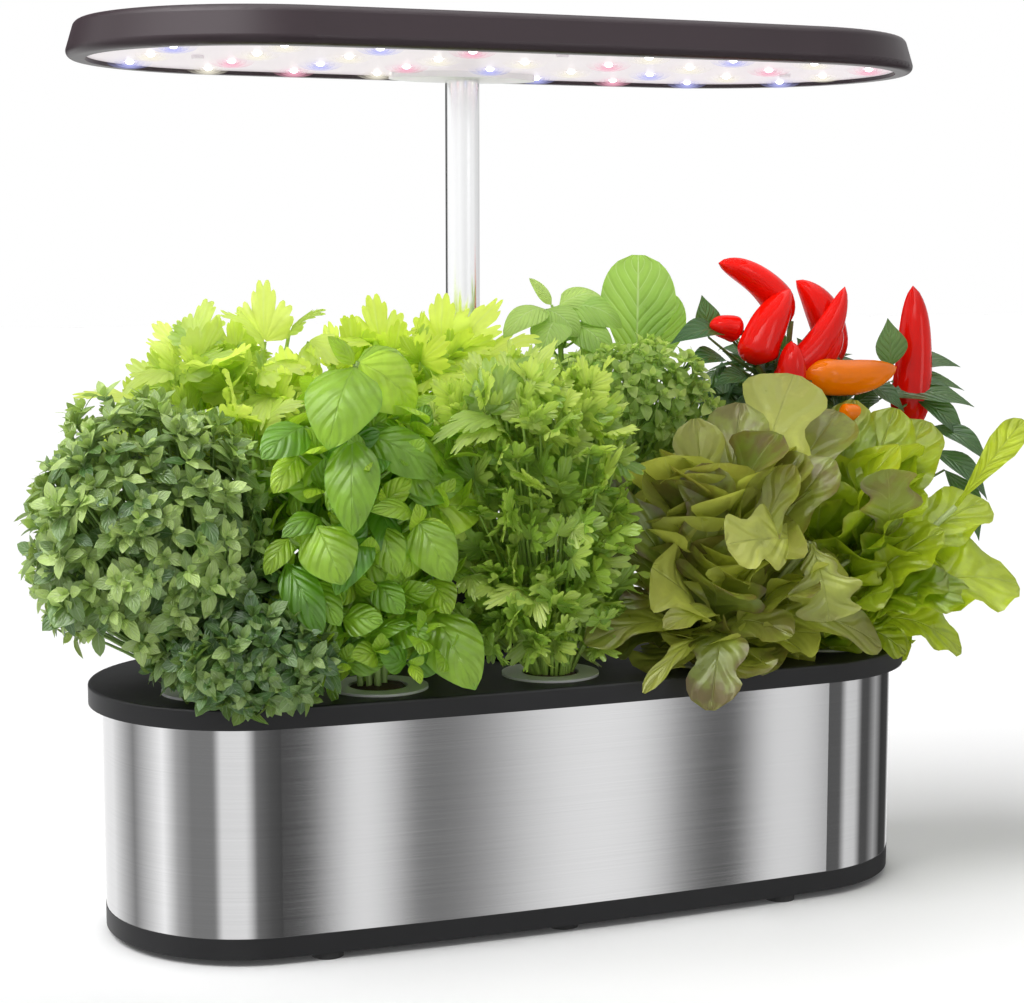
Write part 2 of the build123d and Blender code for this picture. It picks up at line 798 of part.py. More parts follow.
def make_light_panel():
    panel = slab(hood_outline(hood_rim_width + panel_gap), light_panel_z, light_panel_top_z)
    for x, y in all_led_places:
        panel -= drum(led_hole_radius, light_panel_z, light_panel_top_z, x, y)
    for x, y in post_places + plate_post_places:
        panel -= drum(screw_shank_radius, light_panel_z, light_panel_top_z, x, y)
    return panel - drum(top_tube_radius + hood_socket_gap, light_panel_z, light_panel_top_z, 0, mast_y)


def make_leds(colour):
    solids = []
    body_z = led_board_z - led_body_height
    for x, y in led_places(colour):
        lens = drum(led_lens_radius, light_panel_z - led_proud, body_z, x, y)
        lens = fillet(lens.faces().sort_by(Axis.Z)[0].edges(), led_lens_round)
        solids.append(lens + drum(led_radius, body_z, led_board_z, x, y))
    return group(solids)


def make_hood_screws():
    solids = []
    for x, y in post_places:
        head_bottom = light_panel_z - screw_head_height
        solids.append(
            screw_up(
                x, y, head_bottom, screw_head_height, screw_head_radius, screw_shank_radius,
                hood_screw_length,
            )
        )
    for x, y in plate_post_places:
        solids.append(
            screw_up(
                x, y, mast_plate_z, screw_head_height, screw_head_radius, screw_shank_radius,
                hood_screw_length,
            )
        )
    return group(solids)


def make_mast_plate():
    face = Pos(0, mast_y) * Ellipse(plate_half_length, plate_half_width)
    plate = slab(face, mast_plate_z, light_panel_z)
    plate -= drum(top_tube_radius, mast_plate_z, light_panel_z, 0, mast_y)
    for x, y in plate_post_places:
        plate -= drum(screw_head_radius, mast_plate_z, mast_plate_z + screw_head_height, x, y)
        plate -= drum(screw_shank_radius, mast_plate_z, light_panel_z, x, y)
    return plate


# ---------------------------------------------------------------- pods and plants
def make_basket(x, y):
    """Net cup that hangs by its round collar in a deck hole."""
    bottom = cup_seat_z - cup_depth
    cup = Cone(cup_bottom_radius, cup_top_radius, cup_depth)
    cup = Pos(x, y, bottom + cup_depth / 2) * cup
    cup += drum(collar_radius, cup_seat_z, plug_top_z, x, y)
    hollow_depth = cup_depth - cup_wall
    hollow = Cone(cup_bottom_radius - cup_wall, cup_top_radius - cup_wall, hollow_depth)
    cup -= Pos(x, y, cup_seat_z - hollow_depth / 2) * hollow
    cup -= drum(collar_hole_radius, cup_seat_z, plug_top_z, x, y)
    slot_height = cup_depth / 2
    slot_z = bottom + cup_wall + cup_slot_foot + slot_height / 2
    for i in range(cup_slot_count // 2):
        bar = Box(2 * cup_top_radius, cup_slot_width, slot_height)
        cup -= Pos(x, y, slot_z) * (Rot(0, 0, i * 360 / cup_slot_count) * bar)
    return cup - drum(cup_drain_radius, bottom, bottom + cup_wall, x, y)


def make_plug(x, y):
    """Root plug that fills the upper part of a net cup."""
    taper = (cup_top_radius - cup_bottom_radius) / cup_depth
    top_radius = cup_top_radius - cup_wall - plug_gap
    plug = Cone(top_radius - taper * plug_depth, top_radius, plug_depth)
    plug = Pos(x, y, cup_seat_z - plug_gap - plug_depth / 2) * plug
    return plug + drum(collar_hole_radius - plug_gap, cup_seat_z - plug_gap, plug_top_z, x, y)


def clip_polygon(points, middle, normal):
    """Part of a polygon on the near side of a line through a point."""
    kept = []
    for (x0, y0), (x1, y1) in zip(points, points[1:] + points[:1]):
        d0 = (x0 - middle[0]) * normal[0] + (y0 - middle[1]) * normal[1]
        d1 = (x1 - middle[0]) * normal[0] + (y1 - middle[1]) * normal[1]
        if d0 <= 0:
            kept.append((x0, y0))
        if d0 * d1 < 0:
            t = d0 / (d0 - d1)
            kept.append((x0 + t * (x1 - x0), y0 + t * (y1 - y0)))
    return kept


def pod_cell(name):
    """Ground that one pod's plant may cover: half way to each other pod, and clear of the mast."""
    x, y = pods[name]
    reach = cell_reach
    cell = [(-reach, -reach), (reach, -reach), (reach, reach), (-reach, reach)]
    others = [(place, 0.5, canopy_gap / 2) for other, place in pods.items() if other != name]
    mast_room = lower_tube_radius + collar_ring_wall + mast_clearance
    for (ox, oy), share, room in others + [((0, mast_y), 1.0, mast_room)]:
        span = math.hypot(ox - x, oy - y)
        normal = ((ox - x) / span, (oy - y) / span)
        near = span * share - room
        cell = clip_polygon(cell, (x + normal[0] * near, y + normal[1] * near), normal)
    return make_face(Polyline(*cell, close=True))


def on_pod(name, offset):
    """Point given from the middle of a pod's collar top."""
    x, y = pods[name]
    return Vector(x + offset[0], y + offset[1], plug_top_z + offset[2])


def crown_point(name, share):
    """Point on the line from the crown's foot to its head."""
    foot, head, _, _ = crowns[name]
    return on_pod(name, foot) * (1 - share) + on_pod(name, head) * share


def rod(start, end, radius):
    line = end - start
    return Plane(origin=start + line * 0.5, z_dir=line) * Cylinder(radius, line.length)


def make_crown(name):
    """Closed crown of leaves around a leaning line."""
    _, _, radius, habit = crowns[name]
    foot = crown_point(name, 0)
    line = crown_point(name, 1) - foot
    rim = [(share * radius, height * line.length) for height, share in habits[habit]]
    half = Plane.XZ * make_face(Polyline((0, 0), *rim, (0, line.length), close=True))
    crown = Rot(0, 0, crown_seam) * revolve(half, Axis.Z)
    return Plane(origin=foot, z_dir=line) * crown


def make_stem(name):
    return rod(on_pod(name, (0, 0, -stem_sink)), crown_point(name, stem_share), stem_radius)


def make_frond(name, turn, rise, length, width):
    """Broad flat leaf that rises from the collar's middle."""
    foot = frond_foot_width / 2
    half = width / 2
    widest = frond_head * length
    shoulder = (widest + length) / 2
    middle_share, shoulder_share, tip_share = frond_edge
    edge = [
        (0, foot), (widest / 2, middle_share * half), (widest, half),
        (shoulder, shoulder_share * half), (length, tip_share * half),
    ]
    other_edge = [(x, -y) for x, y in reversed(edge)]
    leaf = make_face(Polyline(*edge, *other_edge, close=True))
    leaf = extrude(leaf, amount=frond_thickness / 2, both=True)
    return Pos(*on_pod(name, (0, 0, 0))) * (Rot(0, 0, turn) * (Rot(0, -rise, 0) * leaf))


def make_plant(name):
    """Root plug, stem and crown, cut back to the plant's own cell above its collar."""
    x, y = pods[name]
    plant = make_crown(name) + make_stem(name)
    for turn, rise, length, width in fronds.get(name, []):
        plant += make_frond(name, turn, rise, length, width)
    plant = plant & slab(pod_cell(name), plug_top_z, hood_rim_height)
    return plant + make_plug(x, y)


def make_fruit(stalk_end, tip):
    """Pointed pod: a cone from a wide stalk end to a narrow tip."""
    start = on_pod("chili", stalk_end)
    along = on_pod("chili", tip) - start
    place = Plane(origin=start + along * 0.5, z_dir=along)
    return place * Cone(fruit_base_radius, fruit_tip_radius, along.length)


def make_fruit_stalk(stalk_end):
    return rod(crown_point("chili", fruit_heart), on_pod("chili", stalk_end), fruit_stalk_radius)


def make_chili_plant():
    """Plant with a stalk to each fruit, less the ends of the stalks that the fruits cut off."""
    plant = make_plant("chili")
    for stalk_end, _ in fruits:
        plant += make_fruit_stalk(stalk_end)
    for stalk_end, tip in fruits:
        plant -= make_fruit(stalk_end, tip)
    return plant.solids().sort_by(SortBy.VOLUME)[-1]


# ---------------------------------------------------------------- write the parts
os.makedirs("parts", exist_ok=True)

save(make_base_tray(), "base_tray")
save(make_feet(), "rubber_feet")
save(make_base_screws(), "base_screws")
save(make_steel_wrap(), "steel_wrap")
save(make_water_tank(), "water_tank")
save(make_grow_deck(), "grow_deck")
save(make_control_fascia(), "control_fascia")
save(make_control_housing(), "control_housing")
save(make_control_board(), "control_board")
save(make_status_lenses(), "status_lenses")
for button_name, button_y in button_places.items():
    save(make_button(button_y), button_name)
save(make_refill_lid(), "refill_lid")
save(make_lid_pin(), "lid_pin")
save(make_pump_body(), "pump_body")
save(make_pump_filter(), "pump_filter")
save(make_impeller_shaft(), "impeller_shaft")
save(make_pump_impeller(), "pump_impeller")
save(make_outlet_tube(), "outlet_tube")
save(make_level_stem(), "level_stem")
save(make_float_clip(), "float_clip")
save(make_level_float(), "level_float")
save(make_mast_socket(), "mast_socket")
save(make_dc_inlet(), "dc_inlet")
save(make_socket_screws(), "socket_screws")
save(make_mast_tube(lower_tube_radius, tube_wall, mast_foot_z, lower_tube_top), "lower_tube")
save(make_mast_collar(lower_tube_radius, middle_tube_radius, lower_tube_top), "lower_collar")
save(make_mast_tube(middle_tube_radius, tube_wall, middle_tube_foot, middle_tube_top), "middle_tube")
save(make_mast_guide(lower_tube_radius, middle_tube_radius, middle_tube_foot), "middle_guide")
save(make_mast_collar(middle_tube_radius, top_tube_radius, middle_tube_top), "middle_collar")
save(make_mast_tube(top_tube_radius, top_tube_wall, top_tube_foot, top_tube_end), "top_tube")
save(make_mast_guide(middle_tube_radius, top_tube_radius, top_tube_foot), "top_guide")
save(make_mast_plate(), "mast_plate")
save(make_hood_shell(), "hood_shell")
save(make_led_board(), "led_board")
save(make_light_panel(), "light_panel")
save(make_hood_screws(), "hood_screws")
save(make_leds("w"), "white_leds")
save(make_leds("r"), "red_leds")
save(make_leds("b"), "blue_leds")
for plant_name, pod_place in pods.items():
    save(make_basket(*pod_place), f"{plant_name}_basket")
    plant = make_chili_plant() if plant_name == "chili" else make_plant(plant_name)
    save(plant, f"{plant_name}_plant")
save(group([make_fruit(stalk_end, tip) for stalk_end, tip in fruits]), "chili_fruits")
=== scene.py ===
# %% [markdown]
# # A countertop hydroponic garden, dressed for looks
#
# The garden is a steel-wrapped water tank with a black planting deck, nine pods of herbs, salad
# and chili, and a lamp hood on a telescoping mast. The hard parts arrive as finished solids, so
# Blender only gives them their finishes. The plants are grown here, leaf by leaf, because a living
# leaf is a thin curved sheet with veins that no plain solid can stand for.

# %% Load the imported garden
import math

import bpy
import numpy as np
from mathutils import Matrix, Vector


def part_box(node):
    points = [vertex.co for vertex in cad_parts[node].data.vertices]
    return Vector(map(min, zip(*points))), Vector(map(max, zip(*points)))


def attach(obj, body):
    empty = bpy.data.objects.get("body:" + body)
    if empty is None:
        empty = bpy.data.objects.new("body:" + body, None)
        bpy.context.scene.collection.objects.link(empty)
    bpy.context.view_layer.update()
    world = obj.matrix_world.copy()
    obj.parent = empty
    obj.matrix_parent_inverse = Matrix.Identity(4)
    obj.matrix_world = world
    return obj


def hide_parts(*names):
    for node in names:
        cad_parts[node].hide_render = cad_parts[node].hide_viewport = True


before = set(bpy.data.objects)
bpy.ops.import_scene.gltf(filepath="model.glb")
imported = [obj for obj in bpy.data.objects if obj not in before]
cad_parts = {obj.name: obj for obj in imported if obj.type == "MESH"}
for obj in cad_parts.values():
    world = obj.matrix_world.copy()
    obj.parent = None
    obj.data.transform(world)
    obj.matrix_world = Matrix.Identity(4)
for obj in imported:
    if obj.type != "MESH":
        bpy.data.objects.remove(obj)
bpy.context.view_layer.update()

scene = bpy.context.scene

# %% [markdown]
# ## Camera
#
# A short telephoto stands a little left of the middle and slightly above the deck, so the tank
# shows its long front and a rounded end, and the hood shows its lit underside.

# %% Camera
camera_data = bpy.data.cameras.new("garden_camera")
camera_data.sensor_fit = "HORIZONTAL"
camera_data.sensor_width = 36
camera_data.lens = 76.54
camera_data.clip_start = 0.01
camera = bpy.data.objects.new("garden_camera", camera_data)
camera.location = (-0.3766, -0.9393, 0.3070)
camera.rotation_euler = (math.radians(83.22), 0, math.radians(-21.79))
scene.collection.objects.link(camera)
scene.camera = camera
scene.view_settings.view_transform = "Standard"
print("camera at", [round(value, 4) for value in camera.location])

# %% [markdown]
# ## Node helpers
#
# Materials are node trees, and most of a tree is small sums. These helpers add one node, set or
# link its sockets, and hand back what the next node needs, so a finish reads from top to bottom.


# %% Node helpers
def add(tree, kind, settings=None, **sockets):
    """A new node, with its settings made and its sockets set to values or linked to sockets."""
    node = tree.nodes.new(kind)
    for name, value in (settings or {}).items():
        setattr(node, name, value)
    for name, value in sockets.items():
        connect(tree, value, node.inputs[name.replace("_", " ")])
    return node


def connect(tree, value, socket):
    """Links a socket, or writes a plain value."""
    if isinstance(value, bpy.types.NodeSocket):
        tree.links.new(value, socket)
    else:
        socket.default_value = value


def maths(tree, operation, first, second=0.0, third=0.0):
    """One sum on values, by the name of its operation."""
    node = tree.nodes.new("ShaderNodeMath")
    node.operation = operation
    for socket, value in zip(node.inputs, (first, second, third)):
        connect(tree, value, socket)
    return node.outputs[0]


def times(tree, first, second):
    """The product of two values."""
    return maths(tree, "MULTIPLY", first, second)


def plus(tree, first, second):
    """The sum of two values."""
    return maths(tree, "ADD", first, second)


def minus(tree, first, second):
    """The first value less the second."""
    return maths(tree, "SUBTRACT", first, second)


def scaled(tree, vector, scale):
    """A vector or colour times a value."""
    node = add(tree, "ShaderNodeVectorMath", {"operation": "SCALE"}, Vector=vector, Scale=scale)
    return node.outputs["Vector"]


def ramp(tree, value, low, high, to_low=0.0, to_high=1.0):
    """A smooth step of value between low and high."""
    node = tree.nodes.new("ShaderNodeMapRange")
    node.interpolation_type = "SMOOTHSTEP"
    for name, number in (("Value", value), ("From Min", low), ("From Max", high),
                         ("To Min", to_low), ("To Max", to_high)):
        connect(tree, number, node.inputs[name])
    return node.outputs[0]


def blend(tree, factor, first, second):
    """A mix of two colours."""
    node = tree.nodes.new("ShaderNodeMix")
    node.data_type = "RGBA"
    colours = [socket for socket in node.inputs if socket.type == "RGBA"]
    connect(tree, factor, node.inputs[0])
    connect(tree, first, colours[0])
    connect(tree, second, colours[1])
    return next(socket for socket in node.outputs if socket.type == "RGBA")


def noise(tree, where, scale, detail=2.0, roughness=0.5):
    """Soft clouds from 0 to 1."""
    return add(tree, "ShaderNodeTexNoise", Vector=where, Scale=scale, Detail=detail,
               Roughness=roughness).outputs["Fac"]


def group_tree(name, inputs, outputs):
    """An empty node group with named sockets, and its two ends."""
    tree = bpy.data.node_groups.new(name, "ShaderNodeTree")
    for label, kind, value in inputs:
        socket = tree.interface.new_socket(label, in_out="INPUT", socket_type=kind)
        socket.default_value = value
    for label, kind in outputs:
        tree.interface.new_socket(label, in_out="OUTPUT", socket_type=kind)
    return tree, tree.nodes.new("NodeGroupInput"), tree.nodes.new("NodeGroupOutput")


def new_material(name):
    """A material, and its node tree without any node in it."""
    material = bpy.data.materials.new(name)
    material.use_nodes = True
    material.node_tree.nodes.clear()
    return material, material.node_tree


FLOAT = "NodeSocketFloat"
COLOUR = "NodeSocketColor"
print("socket kinds:", FLOAT, COLOUR)

# %% [markdown]
# ## Studio
#
# A product like this is lit by a broad soft key from the upper left, with white walls all round.
# The world is split by ray: the camera sees plain white, matt surfaces get an even grey-white
# light, and shiny surfaces see a ring of dark flags and white cards. Brushed steel looks like
# steel only when it has such cards to mirror.

# %% World
world = bpy.data.worlds.new("studio")
world.use_nodes = True
scene.world = world
sky = world.node_tree
sky.nodes.clear()
IN_DEGREES = 180.0 / math.pi
looking = add(sky, "ShaderNodeTexCoord").outputs["Generated"]
direction = add(sky, "ShaderNodeSeparateXYZ", Vector=looking)
turn = maths(sky, "ARCTAN2", direction.outputs["X"], times(sky, direction.outputs["Y"], -1.0))
azimuth = times(sky, turn, IN_DEGREES)
elevation = times(sky, maths(sky, "ARCSINE", direction.outputs["Z"]), IN_DEGREES)
print("sky nodes for azimuth and elevation:", len(sky.nodes))

# %% [markdown]
# ### Cards and flags
#
# A card or flag is an azimuth in degrees from the front, towards the right, and the grey level it
# should give in brushed steel, from 0 to 255. The front ones are narrow, because the front of the
# tank is only gently bowed: its whole length mirrors a few degrees of the studio.

# %% Cards and flags
CARD_GAIN = 1.6
side_cards = [(-180, 210), (-150, 215), (-118, 120), (-100, 190), (-87, 230), (-74, 150),
              (-62, 112), (-44, 112), (-38, 205), (-20, 208), (-16, 180), (-11, 100), (0, 76),
              (5, 64), (50, 84), (57, 190), (68, 185), (76, 72), (85, 72), (97, 145),
              (110, 52), (128, 60), (146, 225), (180, 210)]
front_cards = [(5, 62), (8.3, 62), (10.1, 64), (11.4, 200), (12.5, 218), (13.4, 200), (14.2, 172),
               (15.1, 106), (16.4, 102), (17.7, 118), (19, 144), (21.2, 188), (23, 208), (25, 214),
               (27, 208), (28.4, 178), (29.4, 132), (30.6, 92), (31.6, 74), (32.4, 84), (33.4, 165),
               (34.3, 204), (35.8, 206), (36.8, 170), (37.6, 80), (50, 82)]
high_cards = [(-180, 60), (-150, 60), (-138, 215), (-38, 215), (-25, 204), (60, 202), (80, 186),
              (135, 170), (155, 80), (180, 60)]


def card_ring(cards):
    """Brightness by azimuth, from a list of cards."""
    first, last = cards[0][0], cards[-1][0]
    turn = maths(sky, "DIVIDE", minus(sky, azimuth, float(first)), float(last - first))
    node = add(sky, "ShaderNodeValToRGB", Fac=turn)
    stops = node.color_ramp.elements
    while len(stops) < len(cards):
        stops.new(0.5)
    for stop, (degrees, grey) in zip(stops, cards):
        stop.position = (degrees - first) / (last - first)
    for stop, (degrees, grey) in zip(stops, cards):
        level = (grey / 255) ** 2.2
        stop.color = (level, level, level, 1)
    return times(sky, node.outputs["Color"], CARD_GAIN)


print("low ring:", len(side_cards), "front:", len(front_cards), "high ring:", len(high_cards))

# %% [markdown]
# ### What shiny surfaces see
#
# The steel looks down past the floor at the low cards. The mast and the hood look level, at the
# high ones. Two soft boxes and a bright ceiling give the upper surfaces their sheen. A real studio
# would hang such boxes on stands. Here each is a window of azimuth and elevation with soft edges.


# %% Shiny surfaces see the cards
def window(value, start, full, fading, end):
    """1 between full and fading, and 0 outside start and end."""
    return times(sky, ramp(sky, value, start, full), ramp(sky, value, fading, end, 1.0, 0.0))


sides, front, high = card_ring(side_cards), card_ring(front_cards), card_ring(high_cards)
in_front = times(sky, maths(sky, "GREATER_THAN", azimuth, float(front_cards[0][0])),
                 maths(sky, "LESS_THAN", azimuth, float(front_cards[-1][0])))
low = maths(sky, "MULTIPLY_ADD", in_front, minus(sky, front, sides), sides)
level_look = ramp(sky, elevation, -8.5, -3.5)
ring = maths(sky, "MULTIPLY_ADD", level_look, minus(sky, high, low), low)
soft_box = times(sky, times(sky, window(azimuth, 12.0, 18.0, 27.0, 34.0),
                            window(elevation, 4.0, 12.0, 22.0, 36.0)), 2.5)
key_box = times(sky, times(sky, window(azimuth, -125.0, -100.0, -35.0, -10.0),
                           window(elevation, 26.0, 40.0, 65.0, 80.0)), 5.0)
ceiling = plus(sky, ramp(sky, elevation, 35.0, 75.0, 0.0, 2.2), key_box)
shiny = plus(sky, plus(sky, ring, soft_box), ceiling)
print("cards and flags:", len(side_cards) + len(front_cards) + len(high_cards))

# %% [markdown]
# ### Three worlds in one
#
# Light Path tells which kind of ray asks. A camera ray gets plain white, a glossy ray gets the
# cards, and every other ray gets the even light, so each can be set without spoiling the others.

# %% Blend the three worlds
rays = add(sky, "ShaderNodeLightPath")
seen = maths(sky, "MAXIMUM", rays.outputs["Is Camera Ray"], rays.outputs["Is Transmission Ray"])
even_light = add(sky, "ShaderNodeBackground", Color=(1.0, 1.0, 1.0, 1), Strength=0.47)
plain_white = add(sky, "ShaderNodeBackground", Color=(1, 1, 1, 1), Strength=1.0)
card_light = add(sky, "ShaderNodeBackground", Color=(1, 1, 1, 1), Strength=shiny)
first_mix = add(sky, "ShaderNodeMixShader", Fac=seen)
sky.links.new(even_light.outputs[0], first_mix.inputs[1])
sky.links.new(plain_white.outputs[0], first_mix.inputs[2])
last_mix = add(sky, "ShaderNodeMixShader", Fac=rays.outputs["Is Glossy Ray"])
sky.links.new(first_mix.outputs[0], last_mix.inputs[1])
sky.links.new(card_light.outputs[0], last_mix.inputs[2])
add(sky, "ShaderNodeOutputWorld", Surface=last_mix.outputs[0])
print("world nodes:", len(sky.nodes))


# %% [markdown]
# ### Lights
#
# A broad key from the upper left models the leaves, a weak one from behind shines through them,
# and a panel just under the hood stands for the lamp's own light on the plants.

# %% Key light, back light and lamp light
def sun(name, strength, spread, azimuth_degrees, elevation_degrees):
    """A far soft light that comes from a direction: azimuth from the front towards the right."""
    data = bpy.data.lights.new(name, "SUN")
    data.energy = strength
    data.angle = math.radians(spread)
    lamp = bpy.data.objects.new(name, data)
    lamp.rotation_euler = (math.radians(90 - elevation_degrees), 0, math.radians(azimuth_degrees))
    scene.collection.objects.link(lamp)
    return lamp


key = sun("key_light", 2.3, 40, -84, 56)
back = sun("back_light", 0.45, 40, 150, 48)
glow_data = bpy.data.lights.new("lamp_glow", "AREA")
glow_data.shape, glow_data.size, glow_data.size_y = "RECTANGLE", 0.34, 0.13
glow_data.energy = 0.3
glow = bpy.data.objects.new("lamp_glow", glow_data)
glow.location = (0, 0.009, 0.362)
scene.collection.objects.link(glow)
glow.visible_camera = False
for lamp in (key, back, glow):
    lamp.visible_glossy = False
print("lights:", [lamp.name for lamp in (key, back, glow)])

# %% [markdown]
# ## Floor
#
# A pale matt floor carries the garden's soft shadow. It is lifted a little for the camera alone,
# so that it runs into the white backdrop, and shiny surfaces look past it to the cards.

# %% Floor
floor_mesh = bpy.data.meshes.new("floor")
reach = 7.0
floor_mesh.from_pydata([(-reach, -reach, 0), (reach, -reach, 0), (reach, reach, 0),
                        (-reach, reach, 0)], [], [(0, 1, 2, 3)])
floor = bpy.data.objects.new("floor", floor_mesh)
scene.collection.objects.link(floor)
floor_material, tree = new_material("pale_floor")
mottled = blend(tree, noise(tree, add(tree, "ShaderNodeTexCoord").outputs["Object"], 3.0),
                (0.86, 0.86, 0.865, 1), (0.89, 0.89, 0.89, 1))
matt = add(tree, "ShaderNodeBsdfDiffuse", Color=mottled)
by_camera = add(tree, "ShaderNodeLightPath").outputs["Is Camera Ray"]
lift = add(tree, "ShaderNodeEmission", Color=(1, 1, 1, 1), Strength=times(tree, by_camera, 0.02))
both = tree.nodes.new("ShaderNodeAddShader")
tree.links.new(matt.outputs[0], both.inputs[0])
tree.links.new(lift.outputs[0], both.inputs[1])
add(tree, "ShaderNodeOutputMaterial", Surface=both.outputs[0])
floor_mesh.materials.append(floor_material)
floor.visible_glossy = False
print("floor:", 2 * reach, "m square")

# %% [markdown]
# ## Finishes for the hard parts
#
# Moulded plastic is never one flat colour: the mould leaves a fine grain, and hands leave faint
# clouds that change how it shines. One group makes both, and each plastic uses it with its own
# numbers. Brushed metal gets a second group, whose noise is stretched along the brushing.


# %% Groups for moulded and brushed surfaces
def surface_group(name, own_inputs, pattern):
    """A group whose pattern, a swing and a height, changes a colour and a roughness."""
    tree, ends, out = group_tree(
        name,
        [("Colour", COLOUR, (0.5, 0.5, 0.5, 1)), ("Colour Change", FLOAT, 0.1),
         ("Roughness", FLOAT, 0.5), ("Roughness Change", FLOAT, 0.1), *own_inputs],
        [("Colour", COLOUR), ("Roughness", FLOAT), ("Height", FLOAT)])
    where = add(tree, "ShaderNodeTexCoord").outputs["Object"]
    swing, height = pattern(tree, ends.outputs, where)
    level = plus(tree, 1.0, times(tree, swing, ends.outputs["Colour Change"]))
    rough = plus(tree, ends.outputs["Roughness"],
                 times(tree, swing, ends.outputs["Roughness Change"]))
    tree.links.new(scaled(tree, ends.outputs["Colour"], level), out.inputs["Colour"])
    tree.links.new(rough, out.inputs["Roughness"])
    tree.links.new(height, out.inputs["Height"])
    return tree


def clouds_and_grain(tree, values, where):
    """Large faint clouds and the fine grain of a mould."""
    clouds = noise(tree, where, values["Cloud Scale"], 4.0, 0.6)
    fine = noise(tree, where, values["Grain Scale"], 3.0, 0.7)
    return minus(tree, plus(tree, times(tree, clouds, 1.3), times(tree, fine, 0.7)), 1.0), fine


def long_lines(tree, values, where):
    """Noise that is stretched along the brushing."""
    spread = add(tree, "ShaderNodeCombineXYZ", X=values["Along"], Y=values["Along"],
                 Z=values["Across"]).outputs[0]
    stretched = add(tree, "ShaderNodeVectorMath", {"operation": "MULTIPLY"})
    tree.links.new(where, stretched.inputs[0])
    tree.links.new(spread, stretched.inputs[1])
    lines = noise(tree, stretched.outputs[0], 1.0, 4.0, 0.75)
    return minus(tree, lines, 0.5), lines


grain = surface_group("moulded_grain", [("Grain Scale", FLOAT, 2500.0),
                                        ("Cloud Scale", FLOAT, 18.0)], clouds_and_grain)
brushed = surface_group("brushed_lines", [("Along", FLOAT, 6.0), ("Across", FLOAT, 1400.0)],
                        long_lines)
print("groups:", grain.name, brushed.name)

# %% [markdown]
# ### From a group to a finish
#
# The group gives colour, roughness and relief. The Principled shader and the bump stand beside it
# in each material, where a reader can see them.


# %% A finish from a group
def finish(name, group, values, depth, principled):
    """A material: one group's pattern feeds colour, roughness and bump of a Principled shader."""
    material, tree = new_material(name)
    pattern = add(tree, "ShaderNodeGroup", {"node_tree": group})
    for label, value in values.items():
        pattern.inputs[label].default_value = value
    bump = add(tree, "ShaderNodeBump", Strength=1.0, Distance=depth,
               Height=pattern.outputs["Height"])
    shader = add(tree, "ShaderNodeBsdfPrincipled", Base_Color=pattern.outputs["Colour"],
                 Roughness=pattern.outputs["Roughness"], Normal=bump.outputs[0])
    for label, value in principled.items():
        shader.inputs[label].default_value = value
    add(tree, "ShaderNodeOutputMaterial", Surface=shader.outputs[0])
    return material


def spaced(values):
    """Socket names with spaces for their underscores."""
    return {label.replace("_", " "): value for label, value in values.items()}


def moulded(name, colour, roughness, change=0.12, grain_scale=2500.0, depth=0.00001, **principled):
    """Moulded plastic, rubber or board."""
    values = {"Colour": (*colour, 1), "Colour Change": change, "Roughness": roughness,
              "Roughness Change": 0.12, "Grain Scale": grain_scale}
    return finish(name, grain, values, depth, spaced(principled))


print("moulded inputs:", [socket.name for socket in grain.interface.items_tree
                          if socket.in_out == "INPUT"])

# %% [markdown]
# ### Plastics, rubber and board
#
# Each row is a colour, a roughness, how much the clouds change it, how fine the grain is, and how
# deep the grain is in metres.

# %% Plastics, rubber and board
plastics = {
    "tank_plastic": ((0.07, 0.07, 0.075), 0.5),
    "rubber": ((0.018, 0.018, 0.018), 0.75, 0.25, 900),
    "fascia_gloss": ((0.012, 0.012, 0.014), 0.12, 0.1, 400, 0.000002),
    "button_plastic": ((0.2, 0.2, 0.21), 0.45),
    "board_green": ((0.02, 0.12, 0.05), 0.35),
    "lens_clear": ((0.7, 0.82, 0.72), 0.15, 0.05),
    "pump_plastic": ((0.03, 0.03, 0.032), 0.48),
    "float_white": ((0.8, 0.8, 0.77), 0.7, 0.1, 700, 0.00004),
    "bush_plastic": ((0.45, 0.45, 0.45), 0.4),
    "plate_white": ((0.86, 0.84, 0.86), 0.35, 0.05),
    "board_white": ((0.78, 0.78, 0.78), 0.4, 0.06),
    "collar_grey": ((0.84, 0.85, 0.86), 0.4, 0.08, 1600),
}
finishes = {name: moulded(name, *row) for name, row in plastics.items()}
finishes["black_plastic"] = moulded("black_plastic", (0.015, 0.015, 0.016), 0.46, 0.2, 1800,
                                    0.00002, Specular_IOR_Level=0.3)
finishes["hood_plastic"] = moulded("hood_plastic", (0.034, 0.022, 0.027), 0.36, 0.12, 2600,
                                   Specular_IOR_Level=0.3)
# Pale screws with a painted glow: their emission stands in for the panel's light on them.
screws_painted_glow = moulded("screws_painted_glow", (0.4, 0.38, 0.39), 0.4, 0.1,
                       Emission_Color=(1.0, 0.9, 0.96, 1), Emission_Strength=0.36)
print("moulded finishes:", len(finishes))

# %% [markdown]
# ### Metals
#
# The steel's lines run round the tank: their noise is coarse along x and y and fine in height. The
# mast is drawn, so its lines run up it. The rest is plain plated steel.


# %% Metals
def metal(name, colour, roughness, along, across, change=0.2, depth=0.000004):
    """Brushed, drawn or polished metal."""
    values = {"Colour": (*colour, 1), "Colour Change": change, "Roughness": roughness,
              "Roughness Change": roughness * 0.8, "Along": along, "Across": across}
    return finish(name, brushed, values, depth, {"Metallic": 1.0})


metals = {
    "steel": ((0.66, 0.66, 0.665), 0.075, 9, 2600, 0.22, 0.0000015),
    "mast_aluminium": ((0.93, 0.935, 0.94), 0.2, 900, 12, 0.03, 0.0),
    "screw_steel": ((0.7, 0.7, 0.7), 0.3, 400, 400),
    "shaft_steel": ((0.75, 0.75, 0.76), 0.15, 900, 30),
    "inlet_metal": ((0.6, 0.6, 0.6), 0.25, 300, 300),
}
finishes.update({name: metal(name, *row) for name, row in metals.items()})
print("metals:", list(metals))

